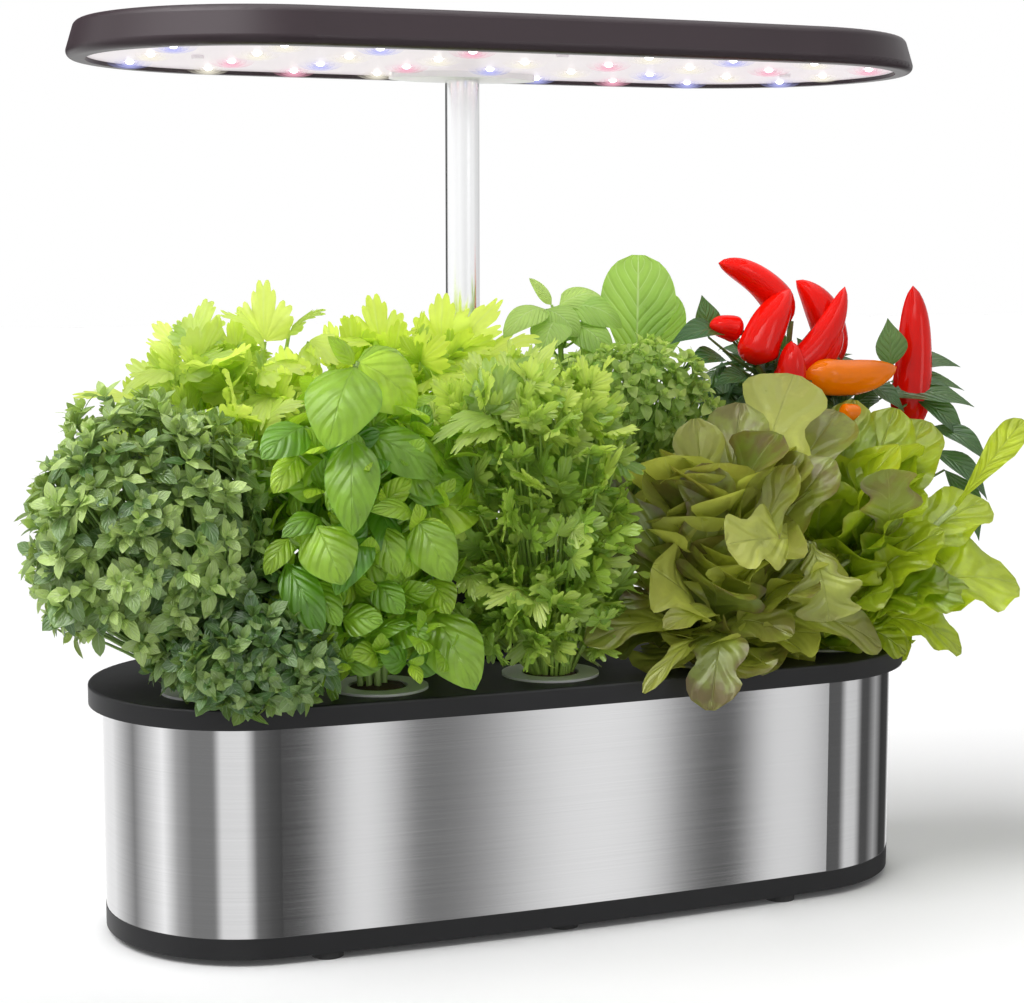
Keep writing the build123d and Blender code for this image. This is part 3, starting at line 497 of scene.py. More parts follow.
# %% [markdown]
# ## Lamp panel, LEDs and their glow
#
# The lit sheet is white plastic that glows evenly. Each LED lens is far brighter than the sheet,
# and the air and sheet around it take its colour. That glow could be a blur added to the finished
# picture, but then it would be missing from the model. So it is three thin bells of light round
# each lens, each wider and fainter than the last.


# %% Glowing finishes
def glowing(name, colour, glow, strength, change):
    """Moulded plastic with light behind it."""
    return moulded(name, colour, 0.35, change, 1200, 0.000004,
                   Emission_Color=(*glow, 1), Emission_Strength=strength)


lights = {
    "panel_white": ((0.36, 0.34, 0.35), (1.0, 0.90, 0.96), 0.42, 0.06),
    "led_white": ((0.8, 0.78, 0.7), (1.0, 0.98, 0.93), 9.0, 0.05),
    "led_red": ((0.8, 0.3, 0.35), (1.0, 0.78, 0.82), 8.0, 0.05),
    "led_blue": ((0.3, 0.35, 0.8), (0.85, 0.86, 1.0), 8.0, 0.05),
}
finishes.update({name: glowing(name, *row) for name, row in lights.items()})
print("glowing finishes:", list(lights))

# %% [markdown]
# ### A glow that fades
#
# The UV map of a bell runs from its lowest point, under the lens, to its rim on the sheet. A group
# turns that into how much the bell's light covers of what is behind it.

# %% Fading glow
bell_fade, ends, out = group_tree("bell_fade", [("Cover", FLOAT, 0.5)], [("Cover", FLOAT)])
across_bell = add(bell_fade, "ShaderNodeSeparateXYZ",
                  Vector=add(bell_fade, "ShaderNodeTexCoord").outputs["UV"]).outputs["X"]
fade = ramp(bell_fade, across_bell, 0.2, 1.0, 1.0, 0.08)
bell_fade.links.new(times(bell_fade, fade, ends.outputs["Cover"]), out.inputs["Cover"])


def glow_finish(name, colour, cover):
    """A glow that fades from the lowest point of a bell of light to its rim."""
    material, tree = new_material(name)
    fading = add(tree, "ShaderNodeGroup", {"node_tree": bell_fade}, Cover=cover)
    shader = add(tree, "ShaderNodeBsdfPrincipled", Base_Color=(0, 0, 0, 1), Roughness=0.6,
                 Specular_IOR_Level=0.0, Alpha=fading.outputs["Cover"],
                 Emission_Color=(*colour, 1), Emission_Strength=1.0)
    add(tree, "ShaderNodeOutputMaterial", Surface=shader.outputs[0])
    return material


print("glow group:", bell_fade.name, len(bell_fade.nodes), "nodes")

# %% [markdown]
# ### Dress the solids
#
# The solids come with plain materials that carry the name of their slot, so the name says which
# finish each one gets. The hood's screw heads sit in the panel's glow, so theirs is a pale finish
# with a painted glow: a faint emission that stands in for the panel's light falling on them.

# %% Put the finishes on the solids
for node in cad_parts.values():
    for place in node.material_slots:
        slot_name = place.material.name.split(".")[0]
        if slot_name in finishes:
            place.material = finishes[slot_name]
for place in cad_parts["hood_screws"].material_slots:
    place.material = screws_painted_glow
print("dressed nodes:", len(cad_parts))


# %% [markdown]
# ## Sheets that grow
#
# Every leaf, stalk, bell of light and fruit here is a small grid of faces bent into shape. Each
# could be an object of its own, but thousands of objects are slow. So one function turns any
# number of grids into one mesh, with a UV map for the veins and a tone for each leaf, and the
# leaves of one plant can differ in age. Lengths are millimetres until the mesh is made.

# %% One mesh from many grids
MM = 0.001


def unit(v):
    """Vectors of length one."""
    v = np.asarray(v, float)
    return v / np.maximum(np.linalg.norm(v, axis=-1, keepdims=True), 1e-9)


def grid_faces(rows, cols):
    """The four corners of each face of a grid."""
    corner = np.arange(rows)[:, None] * (cols + 1) + np.arange(cols)[None]
    return np.stack([corner, corner + 1, corner + cols + 2, corner + cols + 1], -1).reshape(-1, 4)


def grid(rows, cols, down=(0, 1), across=(0, 1)):
    """Two arrays over a grid's points: one runs down its rows and one across its columns."""
    return np.meshgrid(np.linspace(*down, rows + 1), np.linspace(*across, cols + 1), indexing="ij")


def as_uv(u, v):
    """UV pairs, one for each point of a grid."""
    return np.stack([u, v], -1).reshape(-1, 2)


def piece(name, batches, materials):
    """An object from batches of (points, rows, cols, uv, tone, material index)."""
    points, faces, uvs, tones, slots, start = [], [], [], [], [], 0
    for verts, rows, cols, uv, tone, slot in batches:
        count, size = verts.shape[:2]
        corners = grid_faces(rows, cols)
        points.append(verts.reshape(-1, 3))
        firsts = start + np.arange(count) * size
        faces.append((corners[None] + firsts[:, None, None]).reshape(-1, 4))
        uvs.append(np.tile(uv[corners], (count, 1, 1)).reshape(-1, 2))
        tones.append(np.repeat(np.broadcast_to(tone, (count,)), size))
        slots.append(np.full(len(corners) * count, slot))
        start += count * size
    points, faces = np.concatenate(points) * MM, np.concatenate(faces)
    mesh = bpy.data.meshes.new(name)
    mesh.vertices.add(len(points))
    mesh.vertices.foreach_set("co", points.ravel())
    mesh.loops.add(faces.size)
    mesh.loops.foreach_set("vertex_index", faces.ravel())
    mesh.polygons.add(len(faces))
    mesh.polygons.foreach_set("loop_start", np.arange(0, faces.size, 4))
    mesh.polygons.foreach_set("material_index", np.concatenate(slots))
    mesh.polygons.foreach_set("use_smooth", np.ones(len(faces), bool))
    mesh.uv_layers.new(name="UVMap").data.foreach_set("uv", np.concatenate(uvs).ravel())
    mesh.attributes.new("tone", "FLOAT", "POINT").data.foreach_set("value", np.concatenate(tones))
    for material in materials:
        mesh.materials.append(material)
    mesh.update(calc_edges=True)
    made = bpy.data.objects.new(name, mesh)
    scene.collection.objects.link(made)
    print(f"{name}: {len(faces)} faces")
    return made


print("faces in a grid of 3 by 4:", len(grid_faces(3, 4)))

# %% [markdown]
# ### Lenses and their bells
#
# The solids tell where the lenses are. Each gets a bright bubble and its bells, which hang from
# the lit sheet with a hair of air between, so that no two faces share a place. LENS is a radius
# and a depth in millimetres. Each of the GLOWS adds how much its bell covers. Points of a node
# that are nearer to each other than ONE_LENS belong to the same lens.


# %% Lens places and bells of light
LENS = (1.9, 1.4)
GLOWS = [(4.4, 2.2, 0.6), (7.0, 2.8, 0.4), (10.5, 3.2, 0.24)]
ONE_LENS = 8
HAIR = 0.02


def lens_places(node_name):
    """Middle of each lens in a node that holds many, in millimetres."""
    spots = []
    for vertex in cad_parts[node_name].data.vertices:
        here = np.array(vertex.co[:2]) / MM
        near = [spot for spot in spots if np.hypot(*(spot[0] - here)) < ONE_LENS]
        if near:
            near[0].append(here)
        else:
            spots.append([here])
    return [(np.min(spot, 0) + np.max(spot, 0)) / 2 for spot in spots]


def bells(places, radius, depth, slot=0):
    """Half bubbles that hang from the lit sheet, one for each lens."""
    rings, around = 6, 20
    bend, angle = grid(rings, around, (0.03, np.pi / 2), (0, 2 * np.pi))
    skin = np.stack([radius * np.sin(bend) * np.cos(angle), radius * np.sin(bend) * np.sin(angle),
                     -depth * np.cos(bend)], -1).reshape(1, -1, 3)
    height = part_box("light_panel")[0].z / MM - HAIR
    middles = np.array([(x, y, height) for x, y in places])[:, None]
    return middles + skin, rings, around, as_uv(bend / (np.pi / 2), angle / 7), 0.5, slot


def lit_lenses(node_name, slot_name, colour):
    """Bright lenses in place of the plain ones, each inside bells of its own light."""
    places = lens_places(node_name)
    lenses = piece(node_name + "_lenses", [bells(places, *LENS)], [finishes[slot_name]])
    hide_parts(node_name)
    layers = [bells(places, radius, depth, k) for k, (radius, depth, cover) in enumerate(GLOWS)]
    glows = piece(node_name + "_glow", layers,
                  [glow_finish(f"{node_name}_glow_{cover}", colour, cover)
                   for radius, depth, cover in GLOWS])
    for made in (lenses, glows):
        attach(made, "lamp")


lit_lenses("white_leds", "led_white", (1.0, 0.94, 0.78))
lit_lenses("red_leds", "led_red", (1.0, 0.46, 0.60))
lit_lenses("blue_leds", "led_blue", (0.50, 0.52, 1.0))

# %% [markdown]
# ## The face of a leaf
#
# A leaf has a pale midrib, side veins that sweep forward from it, soft pillows between them, and a
# margin of another tint. Light also comes through it, warmer and yellower than what it reflects.
# The group draws all that from the leaf's own UV map: across it from edge to edge, and along it
# from stalk to tip. A fan-shaped leaf uses the same group with veins that spread from the stalk.

# %% Leaf veins
face, ends, out = group_tree(
    "leaf_face",
    [("Mature", COLOUR, (0.1, 0.3, 0.05, 1)), ("Young", COLOUR, (0.3, 0.5, 0.1, 1)),
     ("Vein", COLOUR, (0.5, 0.6, 0.3, 1)), ("Margin", COLOUR, (0.1, 0.3, 0.05, 1)),
     ("Light Through", COLOUR, (0.4, 0.6, 0.05, 1)), ("Rows", FLOAT, 7.0), ("Slant", FLOAT, -3.0),
     ("Vein Strength", FLOAT, 0.5), ("Midrib", FLOAT, 0.06), ("Margin Width", FLOAT, 0.2),
     ("Blotches", FLOAT, 0.2), ("Crinkle", FLOAT, 0.2), ("Crinkle Scale", FLOAT, 300.0)],
    [("Colour", COLOUR), ("Through", COLOUR), ("Roughness", FLOAT), ("Height", FLOAT)])
given = ends.outputs
coords = add(face, "ShaderNodeTexCoord")
uv = add(face, "ShaderNodeSeparateXYZ", Vector=coords.outputs["UV"])
side = maths(face, "ABSOLUTE", maths(face, "MULTIPLY_ADD", uv.outputs["X"], 2.0, -1.0))
tone = add(face, "ShaderNodeAttribute", {"attribute_name": "tone"}).outputs["Fac"]
row = plus(face, times(face, uv.outputs["Y"], given["Rows"]), times(face, side, given["Slant"]))
row = plus(face, row, times(face, noise(face, coords.outputs["Object"], 40.0), 0.9))
off_vein = maths(face, "PINGPONG", row, 0.5)
side_vein = ramp(face, off_vein, 0.0, 0.08, 0.5, 0.0)
midrib = ramp(face, side, 0.0, given["Midrib"], 1.0, 0.0)
vein = times(face, maths(face, "MAXIMUM", side_vein, midrib), given["Vein Strength"])
print("leaf face inputs:", len(given) - 1)

# %% [markdown]
# ### Colour, light through the leaf, and relief
#
# Young leaves are paler than old ones, so the leaf's own tone mixes the two colours. Some plants
# also get darker tones low down and paler ones on top, so there the tone also carries painted shade
# and painted light. The margin tint is strongest on old leaves, and blotches break everything up.
# The relief has a pillow between each pair of veins, a groove at the midrib, and fine crinkles.

# %% Leaf colour, light through it and relief
blotch = noise(face, coords.outputs["Object"], 90.0, 3.0, 0.6)
colour = blend(face, tone, given["Mature"], given["Young"])
inside_margin = minus(face, 1.0, given["Margin Width"])
edge = maths(face, "MAXIMUM", ramp(face, side, inside_margin, 1.0),
             ramp(face, uv.outputs["Y"], inside_margin, 1.0))
edge = times(face, edge, ramp(face, blotch, 0.3, 0.6))
edge = times(face, edge, ramp(face, tone, 0.15, 0.9, 1.0, 0.3))
colour = blend(face, edge, colour, given["Margin"])
colour = blend(face, vein, colour, given["Vein"])
patchy = plus(face, 1.0, times(face, minus(face, blotch, 0.5), given["Blotches"]))
colour = scaled(face, colour, patchy)
face.links.new(colour, out.inputs["Colour"])
through = blend(face, 0.55, colour, given["Light Through"])
through = blend(face, times(face, vein, 0.5), through, given["Vein"])
face.links.new(through, out.inputs["Through"])
face.links.new(plus(face, 0.2, times(face, blotch, 0.25)), out.inputs["Roughness"])
pillow = minus(face, ramp(face, off_vein, 0.0, 0.35), times(face, midrib, 0.6))
crinkles = noise(face, coords.outputs["Object"], given["Crinkle Scale"], 3.0, 0.6)
relief = plus(face, pillow, times(face, crinkles, given["Crinkle"]))
face.links.new(relief, out.inputs["Height"])
leaf_face = face
print("leaf face nodes:", len(leaf_face.nodes))

# %% [markdown]
# ### From the group to a leaf finish
#
# A leaf shines on its skin and glows where light comes through it, so its material is a mix of a
# Principled and a Translucent shader.


# %% A leaf material
LEAF_COLOURS = ("Mature", "Young", "Vein", "Margin", "Light Through")
LEAF_VALUES = ("Rows", "Slant", "Vein Strength", "Midrib", "Margin Width", "Blotches", "Crinkle",
               "Crinkle Scale")


def leaf(name, colours, *values):
    """A leaf finish. values: the LEAF_VALUES, the relief in metres and the share of backlight."""
    material, tree = new_material(name)
    face = add(tree, "ShaderNodeGroup", {"node_tree": leaf_face})
    for label, colour in zip(LEAF_COLOURS, colours):
        face.inputs[label].default_value = (*colour, 1)
    for label, value in zip(LEAF_VALUES, values):
        face.inputs[label].default_value = value
    relief, backlight = values[-2:]
    bump = add(tree, "ShaderNodeBump", Strength=0.7, Distance=relief, Height=face.outputs["Height"])
    skin = add(tree, "ShaderNodeBsdfPrincipled", Base_Color=face.outputs["Colour"],
               Roughness=face.outputs["Roughness"], Normal=bump.outputs[0], Specular_IOR_Level=0.7)
    inside = add(tree, "ShaderNodeBsdfTranslucent", Color=face.outputs["Through"])
    mix = tree.nodes.new("ShaderNodeMixShader")
    mix.inputs[0].default_value = backlight
    tree.links.new(skin.outputs[0], mix.inputs[1])
    tree.links.new(inside.outputs[0], mix.inputs[2])
    add(tree, "ShaderNodeOutputMaterial", Surface=mix.outputs[0])
    return material


print("set for each leaf:", ", ".join(LEAF_COLOURS + LEAF_VALUES))

# %% [markdown]
# ### The looks of nine plants
#
# Each row has the five colours, the eight values, the relief and the backlight. Fans have no rows
# of veins from the midrib; theirs spread, so their Rows is 0 and their Slant is high.

# %% Leaf finishes
looks = {
    "bush_basil": ([(0.06, 0.15, 0.035), (0.54, 0.72, 0.22), (0.5, 0.6, 0.4), (0.18, 0.33, 0.08),
                    (0.50, 0.68, 0.06)], 4, -2.0, 0.35, 0.12, 0.1, 1.0, 0.1, 500, 0.0002, 0.2),
    "sweet_basil": ([(0.07, 0.25, 0.015), (0.56, 0.80, 0.06), (0.42, 0.6, 0.18), (0.2, 0.44, 0.04),
                     (0.5, 0.78, 0.03)], 4, -1.6, 0.14, 0.05, 0.08, 1.1, 1.3, 70, 0.0007, 0.38),
    "parsley": ([(0.20, 0.38, 0.05), (0.70, 0.84, 0.20), (0.5, 0.64, 0.25), (0.3, 0.5, 0.06),
                 (0.6, 0.8, 0.05)], 0.0, 4.0, 0.35, 0.06, 0.08, 0.6, 0.2, 300, 0.0004, 0.4),
    "red_lettuce": ([(0.15, 0.22, 0.03), (0.70, 0.76, 0.14), (0.5, 0.56, 0.2), (0.09, 0.045, 0.03),
                     (0.66, 0.72, 0.06)], 5, -1.2, 0.2, 0.05, 0.48, 1.4, 0.9, 70, 0.0009, 0.38),
    "green_lettuce": ([(0.19, 0.32, 0.012), (0.58, 0.70, 0.03), (0.55, 0.65, 0.25),
                       (0.3, 0.34, 0.03), (0.58, 0.76, 0.02)],
                      6, -1.3, 0.26, 0.05, 0.2, 1.1, 1.0, 90, 0.0014, 0.40),
    "chili": ([(0.03, 0.10, 0.025), (0.12, 0.24, 0.06), (0.22, 0.32, 0.14), (0.04, 0.12, 0.03),
               (0.2, 0.4, 0.03)], 6, -2.2, 0.4, 0.07, 0.08, 0.5, 0.2, 200, 0.0006, 0.18),
    "tall_basil": ([(0.2, 0.40, 0.05), (0.72, 0.88, 0.28), (0.6, 0.74, 0.36), (0.28, 0.5, 0.07),
                    (0.55, 0.8, 0.08)], 8, -3.0, 0.6, 0.05, 0.06, 0.5, 0.3, 200, 0.0006, 0.4),
    "lovage": ([(0.26, 0.44, 0.06), (0.78, 0.92, 0.14), (0.7, 0.82, 0.3), (0.56, 0.72, 0.06),
                (0.78, 0.95, 0.06)], 0.0, 4.0, 0.3, 0.05, 0.08, 0.5, 0.15, 220, 0.0004, 0.5),
    "celery": ([(0.27, 0.44, 0.07), (0.78, 0.90, 0.20), (0.7, 0.82, 0.35), (0.56, 0.72, 0.08),
                (0.78, 0.95, 0.10)], 0.0, 4.0, 0.3, 0.05, 0.08, 0.5, 0.15, 220, 0.0004, 0.5),
}
leaves = {name: leaf(name + "_leaf", *look) for name, look in looks.items()}
stalk_finish = {
    name: moulded(name + "_stalk", colour, 0.4, 0.4, 260, 0.00008)
    for name, colour in (("bush_basil", (0.2, 0.32, 0.08)), ("sweet_basil", (0.36, 0.5, 0.16)),
                         ("parsley", (0.3, 0.46, 0.08)), ("red_lettuce", (0.42, 0.48, 0.22)),
                         ("green_lettuce", (0.5, 0.6, 0.25)), ("chili", (0.12, 0.2, 0.05)),
                         ("tall_basil", (0.34, 0.5, 0.14)), ("lovage", (0.42, 0.6, 0.1)),
                         ("celery", (0.44, 0.62, 0.12)))
}
print("leaf finishes:", len(leaves))

# %% [markdown]
# ## Leaf outlines
#
# A blade has an outline: how wide it is at each point from stalk to tip. Basil is egg-shaped,
# chili is a lance, oak-leaf lettuce has rounded lobes, and cos lettuce is a paddle. Celery, lovage
# and parsley have fans instead, cut into lobes and teeth round the edge.


# %% Outlines from stalk to tip
def egg(t):
    """Basil: broad near the stalk, with a short point."""
    return np.clip(np.sin(np.pi * np.clip(t, 0, 1) ** 0.66), 0, 1) ** 0.64 + 0.015


def lance(t):
    """Chili: long, with a drawn-out point."""
    return np.sin(np.pi * t ** 0.7) ** 1.15 + 0.02


def round_end(t, start, length, power):
    """1 as far as start, then rounded off over a length."""
    return np.sqrt(np.clip(1 - (np.clip(t - start, 0, 1) / length) ** power, 0, 1))


def oak(t):
    """Oak-leaf lettuce: a narrow foot, then rounded lobes."""
    body = 0.12 + 0.88 * np.clip((t - 0.12) / 0.5, 0, 1) ** 0.9
    valleys = (0.5 - 0.5 * np.cos(2 * np.pi * (3 * t - 2.82))) ** 1.6
    lobes = 1 - 0.36 * valleys * np.clip(t / 0.3, 0, 1)
    return body * lobes * round_end(t, 0.82, 0.182, 2.4) + 0.01


def frill(t):
    """Loose-leaf lettuce: a narrow foot and a broad round head."""
    body = 0.14 + 0.86 * np.clip((t - 0.12) / 0.5, 0, 1) ** 0.9
    return body * round_end(t, 0.7, 0.302, 2.6) + 0.01


def paddle(t):
    """Cos lettuce: widest above the middle, with a round end."""
    body = 0.2 + 0.8 * np.clip(t / 0.55, 0, 1) ** 1.1
    return body * round_end(t, 0.55, 0.455, 2.5) + 0.01


print("half width at the middle:", [round(float(outline(0.5)), 2)
                                    for outline in (egg, lance, oak, frill, paddle)])

# %% [markdown]
# ### Outlines become grids
#
# a runs from stalk to tip and b from edge to edge, both as shares of the leaf's length and half
# its width. The edge value says how much a ruffle moves each point.


# %% Blades and fans
def blade(rows, cols, outline, sweep):
    """Grid of a leaf that is widest somewhere between stalk and tip."""
    along, side = grid(rows, cols, (0, 1), (-1, 1))
    half = outline(along)
    a = along + sweep * np.abs(side) * half * (1 - along)
    return {"rows": rows, "cols": cols, "a": a.ravel(), "b": (half * side).ravel(),
            "edge": (np.abs(side) * np.sqrt(half)).ravel(), "side": np.sign(side).ravel(),
            "uv": as_uv((side + 1) / 2, along)}


def fan(rows, cols, lobes, notch, teeth, tooth, spread):
    """Grid of a leaf that spreads from its stalk, with lobes and teeth cut into its edge."""
    out_share, side = grid(rows, cols, (0.03, 1), (-1, 1))
    turn = (side + 1) / 2
    cut = 1 - notch * (1 - np.abs(np.sin(np.pi * lobes * turn)) ** 0.6)
    cut *= 1 - tooth * (1 - np.abs(np.sin(np.pi * teeth * turn)) ** 0.8)
    reach = out_share * (1 - 0.3 * side ** 2) * (1 + (cut - 1) * out_share ** 1.5)
    angle = side * math.radians(spread)
    a, b = reach * np.cos(angle), reach * np.sin(angle)
    a, b = a / a.max(), b / np.abs(b).max()
    return {"rows": rows, "cols": cols, "a": a.ravel(), "b": b.ravel(), "edge": out_share.ravel(),
            "side": np.sin(side * 5).ravel(), "uv": as_uv(turn, out_share)}


kinds = {
    "small_egg": blade(5, 4, egg, 0.1),
    "egg": blade(12, 8, egg, 0.1),
    "lance": blade(12, 6, lance, 0.1),
    "oak": blade(26, 10, oak, 0.1),
    "frill": blade(24, 12, frill, 0.1),
    "paddle": blade(18, 10, paddle, 0.05),
    "celery_fan": fan(4, 48, 3, 0.34, 12, 0.13, 88),
    "parsley_fan": fan(4, 24, 3, 0.46, 6, 0.2, 88),
}
print("faces of a leaf:", {name: kind["rows"] * kind["cols"] for name, kind in kinds.items()})

# %% [markdown]
# ## Leaves and stalks in bulk
#
# A leaf is its flat grid, stretched from base to tip, bowed along its length, cupped, ruffled and
# twisted. A stalk is a tube round a bent line. Both are made for a whole batch at once.


# %% Growing leaves and stalks
def rows_of(points):
    """Points as rows of an array, also when there is only one."""
    return np.atleast_2d(np.asarray(points, float))


def grow(kind, base, tip, face, width, bow, cup, ruffle, waves, twist, tone, seed):
    """A batch of leaves of one kind, from base to tip, each with its upper side towards face."""
    shape = kinds[kind]
    rng = np.random.default_rng(seed)
    base, tip, face = rows_of(base), rows_of(tip), rows_of(face)
    count = len(base)
    width, bow, cup, ruffle, waves, twist = (
        np.broadcast_to(np.asarray(v, float), (count,))[:, None]
        for v in (width, bow, cup, ruffle, waves, twist))
    length = np.linalg.norm(tip - base, axis=1)[:, None]
    ahead = (tip - base) / length
    side = unit(np.cross(ahead, face))
    up = np.cross(side, ahead)
    a, b, edge = shape["a"][None], shape["b"][None], shape["edge"][None]
    phase = rng.uniform(0, 2 * np.pi, (count, 1))
    wave = np.sin(2 * np.pi * waves * a + phase + 1.3 * shape["side"][None])
    across = width / 2 * b
    lift = length * bow * 4 * a * (1 - a) + width / 2 * cup * b ** 2
    lift = lift + width * ruffle * edge ** 2 * wave
    turn = twist * a
    over = across * np.cos(turn) - lift * np.sin(turn)
    rise = across * np.sin(turn) + lift * np.cos(turn)
    verts = base[:, None] + ahead[:, None] * (length * a)[..., None]
    verts = verts + side[:, None] * over[..., None] + up[:, None] * rise[..., None]
    return verts, shape["rows"], shape["cols"], shape["uv"], tone, 0


def stalks(start, middle, end, thick, thin, rings):
    """A batch of round stalks that bend from start by way of middle to end."""
    sides = 5
    start, middle, end = (rows_of(v)[:, None] for v in (start, middle, end))
    t = np.linspace(0, 1, rings + 1)[None, :, None]
    line = (1 - t) ** 2 * start + 2 * t * (1 - t) * middle + t ** 2 * end
    ahead = unit(2 * (1 - t) * (middle - start) + 2 * t * (end - middle) + 1e-6)
    side = unit(np.cross(ahead, np.array([0.31, -0.2, 0.11])))
    up = np.cross(side, ahead)
    radius = np.asarray(thick, float) * (1 - t) + np.asarray(thin, float) * t
    angle = np.linspace(0, 2 * np.pi, sides + 1)[None, None, :, None]
    skin = (side[:, :, None] * np.cos(angle) + up[:, :, None] * np.sin(angle)) * radius[:, :, None]
    verts = (line[:, :, None] + skin).reshape(len(line), -1, 3)
    v, u = grid(rings, sides)
    return verts, rings, sides, as_uv(u, v), 0.5, 0


one_stalk = stalks((0, 0, 0), (0, 0, 1), (1, 0, 2), 1, 1, 6)
print("points in one stalk:", one_stalk[0].shape[1])

# %% [markdown]
# ## Where leaves stand
#
# Lettuce rises from its collar like a fountain: its feet stand LETTUCE_FOOT millimetres from the
# collar's middle. The other plants fill a rounded crown, thinner inside than at its skin. No point
# comes nearer to the mast's middle than MAST_ROOM.


# %% Fountains and crowns
MAST = np.array([0.0, 68.0])
MAST_ROOM = 26
DECK_TOP = 118.0
LETTUCE_FOOT = 6


def fountain(kind, collar, count, reach, heights, widths, seed, ruffle, waves, lean):
    """Leaves that rise from one collar and spread all round it. lean pushes them all one way."""
    rng = np.random.default_rng(seed)
    turn = np.linspace(0, 2 * np.pi, count + 1)[:-1] + rng.normal(0, 0.2, count)
    share = rng.random(count)
    out = np.stack([reach[0] * np.cos(turn), reach[1] * np.sin(turn),
                    heights[0] + (heights[1] - heights[0]) * share], 1)
    out[:, :2] = out[:, :2] * (1.12 - 0.45 * share)[:, None] + lean
    base = collar + unit(out * (1, 1, 0)) * LETTUCE_FOOT
    width = rng.uniform(*widths, count)
    twist = rng.normal(0, 0.55, count)
    tone = rng.uniform(0, 1.05, count)
    return grow(kind, base, collar + out, (0.0, 0.0, 1.0), width, 0.14, 0.2, ruffle, waves, twist,
                tone, seed)


def dome(count, centre, radii, low, depth, seed, least=DECK_TOP + 4):
    """Points in a rounded crown, and the way out at each. None is lower than least.

    low is the height where the underside is cut off, as a share from -1 to 1, and depth is how
    far the points go in from the skin.
    """
    rng = np.random.default_rng(seed)
    step = np.arange(count) + 0.5
    height = low + (1 - low) * step / count
    angle = np.pi * (1 + 5 ** 0.5) * step
    ring = np.sqrt(np.clip(1 - height ** 2, 0, 1))
    out = np.stack([ring * np.cos(angle), ring * np.sin(angle), height], 1)
    out = unit(out + rng.normal(0, 0.07, out.shape))
    swell = 1 + 0.08 * np.sin(5 * out[:, :1] + seed) * np.cos(4 * out[:, 1:2] + 2 * seed)
    share = swell * (1 - depth * rng.random((count, 1)) ** 1.6)
    points = np.asarray(centre, float) + out * np.asarray(radii, float) * share
    away = points[:, :2] - MAST
    gap = np.linalg.norm(away, axis=1, keepdims=True)
    points[:, :2] = MAST + away * np.maximum(1, MAST_ROOM / gap)
    points[:, 2] = np.maximum(points[:, 2], least)
    return points, unit(out / np.asarray(radii, float) * np.mean(radii) + (0, 0, 0.45))


print("mast at", MAST, "with", MAST_ROOM, "mm round it kept free")

# %% [markdown]
# ### What grows at each point
#
# Basil and chili have rosettes: crossed pairs of leaves, the inner pair upright and small, the
# outer pair spread and large. Parsley, celery and lovage have sprigs: three fans on one stalk, one
# ahead and one to each side.


# %% Rosettes, sprigs and leaves set one by one
def rosettes(kind, points, axes, pairs, lengths, slimness, opening, seed, bow=0.12, cup=0.25,
             tones=(0.1, 0.8)):
    """Crossed pairs of leaves at each point. opening is the tilt of the first and last pair."""
    rng = np.random.default_rng(seed)
    batches = []
    first = unit(np.cross(axes, rng.normal(size=axes.shape)))
    second = np.cross(axes, first)
    for pair in range(pairs):
        share = pair / max(pairs - 1, 1)
        lean = math.radians(opening[0] + (opening[1] - opening[0]) * share)
        for half in (0, math.pi):
            angle = pair * math.pi / 2 + half + rng.normal(0, 0.25, (len(points), 1))
            tilt = lean + rng.normal(0, 0.22, (len(points), 1))
            around = np.cos(angle) * first + np.sin(angle) * second
            way = np.cos(tilt) * axes + np.sin(tilt) * around
            length = rng.uniform(*lengths, (len(points), 1)) * (0.6 + 0.4 * share)
            base = points - axes * lengths[0] * 0.25 * share
            tone = np.clip(rng.uniform(*tones, len(points)) + 0.25 * (1 - share), 0, 1)
            twist = rng.normal(0, 0.25, len(points))
            batches.append(grow(kind, base, base + way * length, axes, length[:, 0] * slimness,
                                bow, cup, 0.0, 2.5, twist, tone, seed + pair))
    return batches


def sprigs(kind, points, axes, lengths, seed, tones):
    """Three fans at each point: one ahead and one to each side."""
    rng = np.random.default_rng(seed)
    batches = []
    ahead = unit(axes + rng.normal(0, 0.45, axes.shape) * (1, 1, 0.5))
    side = unit(np.cross(ahead, rng.normal(size=axes.shape)))
    face = unit(np.cross(side, ahead) + (0, -0.1, 0.6))
    for turn, size in ((0.0, 1.0), (-1.15, 0.8), (1.15, 0.8)):
        angle = turn + rng.normal(0, 0.15, (len(points), 1))
        way = np.cos(angle) * ahead + np.sin(angle) * side
        length = rng.uniform(*lengths, (len(points), 1)) * size
        twist = rng.normal(0, 0.3, len(points))
        tone = rng.uniform(*tones, len(points))
        batches.append(grow(kind, points, points + way * length, face, length[:, 0] * 0.95, 0.08,
                            -0.2, 0.06, 1.4, twist, tone, seed + int(turn * 10)))
    return batches


def hand_placed(kind, rows, face, seed, ruffle=0.0, waves=2.5, cup=0.15):
    """Leaves set one by one: rows of base, tip, width, bow and tone."""
    base, tip, width, bow, tone = (np.array(column, float) for column in zip(*rows))
    return grow(kind, base, tip, np.broadcast_to(unit(face), base.shape), width, bow, cup, ruffle,
                waves, 0.0, tone, seed)


def bases(rows):
    """Where each leaf that is set one by one joins its stalk."""
    return [row[0] for row in rows]


one_point, upwards = np.zeros((1, 3)), np.array([[0, 0, 1.0]])
one_rosette = rosettes("egg", one_point, upwards, 3, (9, 14), 0.5, (30, 88), 1)
print("leaves in a rosette of 3 pairs:", len(one_rosette))
print("leaves in a sprig:", len(sprigs("parsley_fan", one_point, upwards, (9, 14), 20, (0, 1))))

# %% [markdown]
# ### Stalks, and the two pieces of a plant
#
# Soft plants send a stalk from the collar to each leaf, out of the cup's mouth and up. Woody ones
# have a main stem with side stalks. Leaves and stalks are one piece each, and both ride the pod.


# %% Stalks and plants
CUP_MOUTH = 9.5


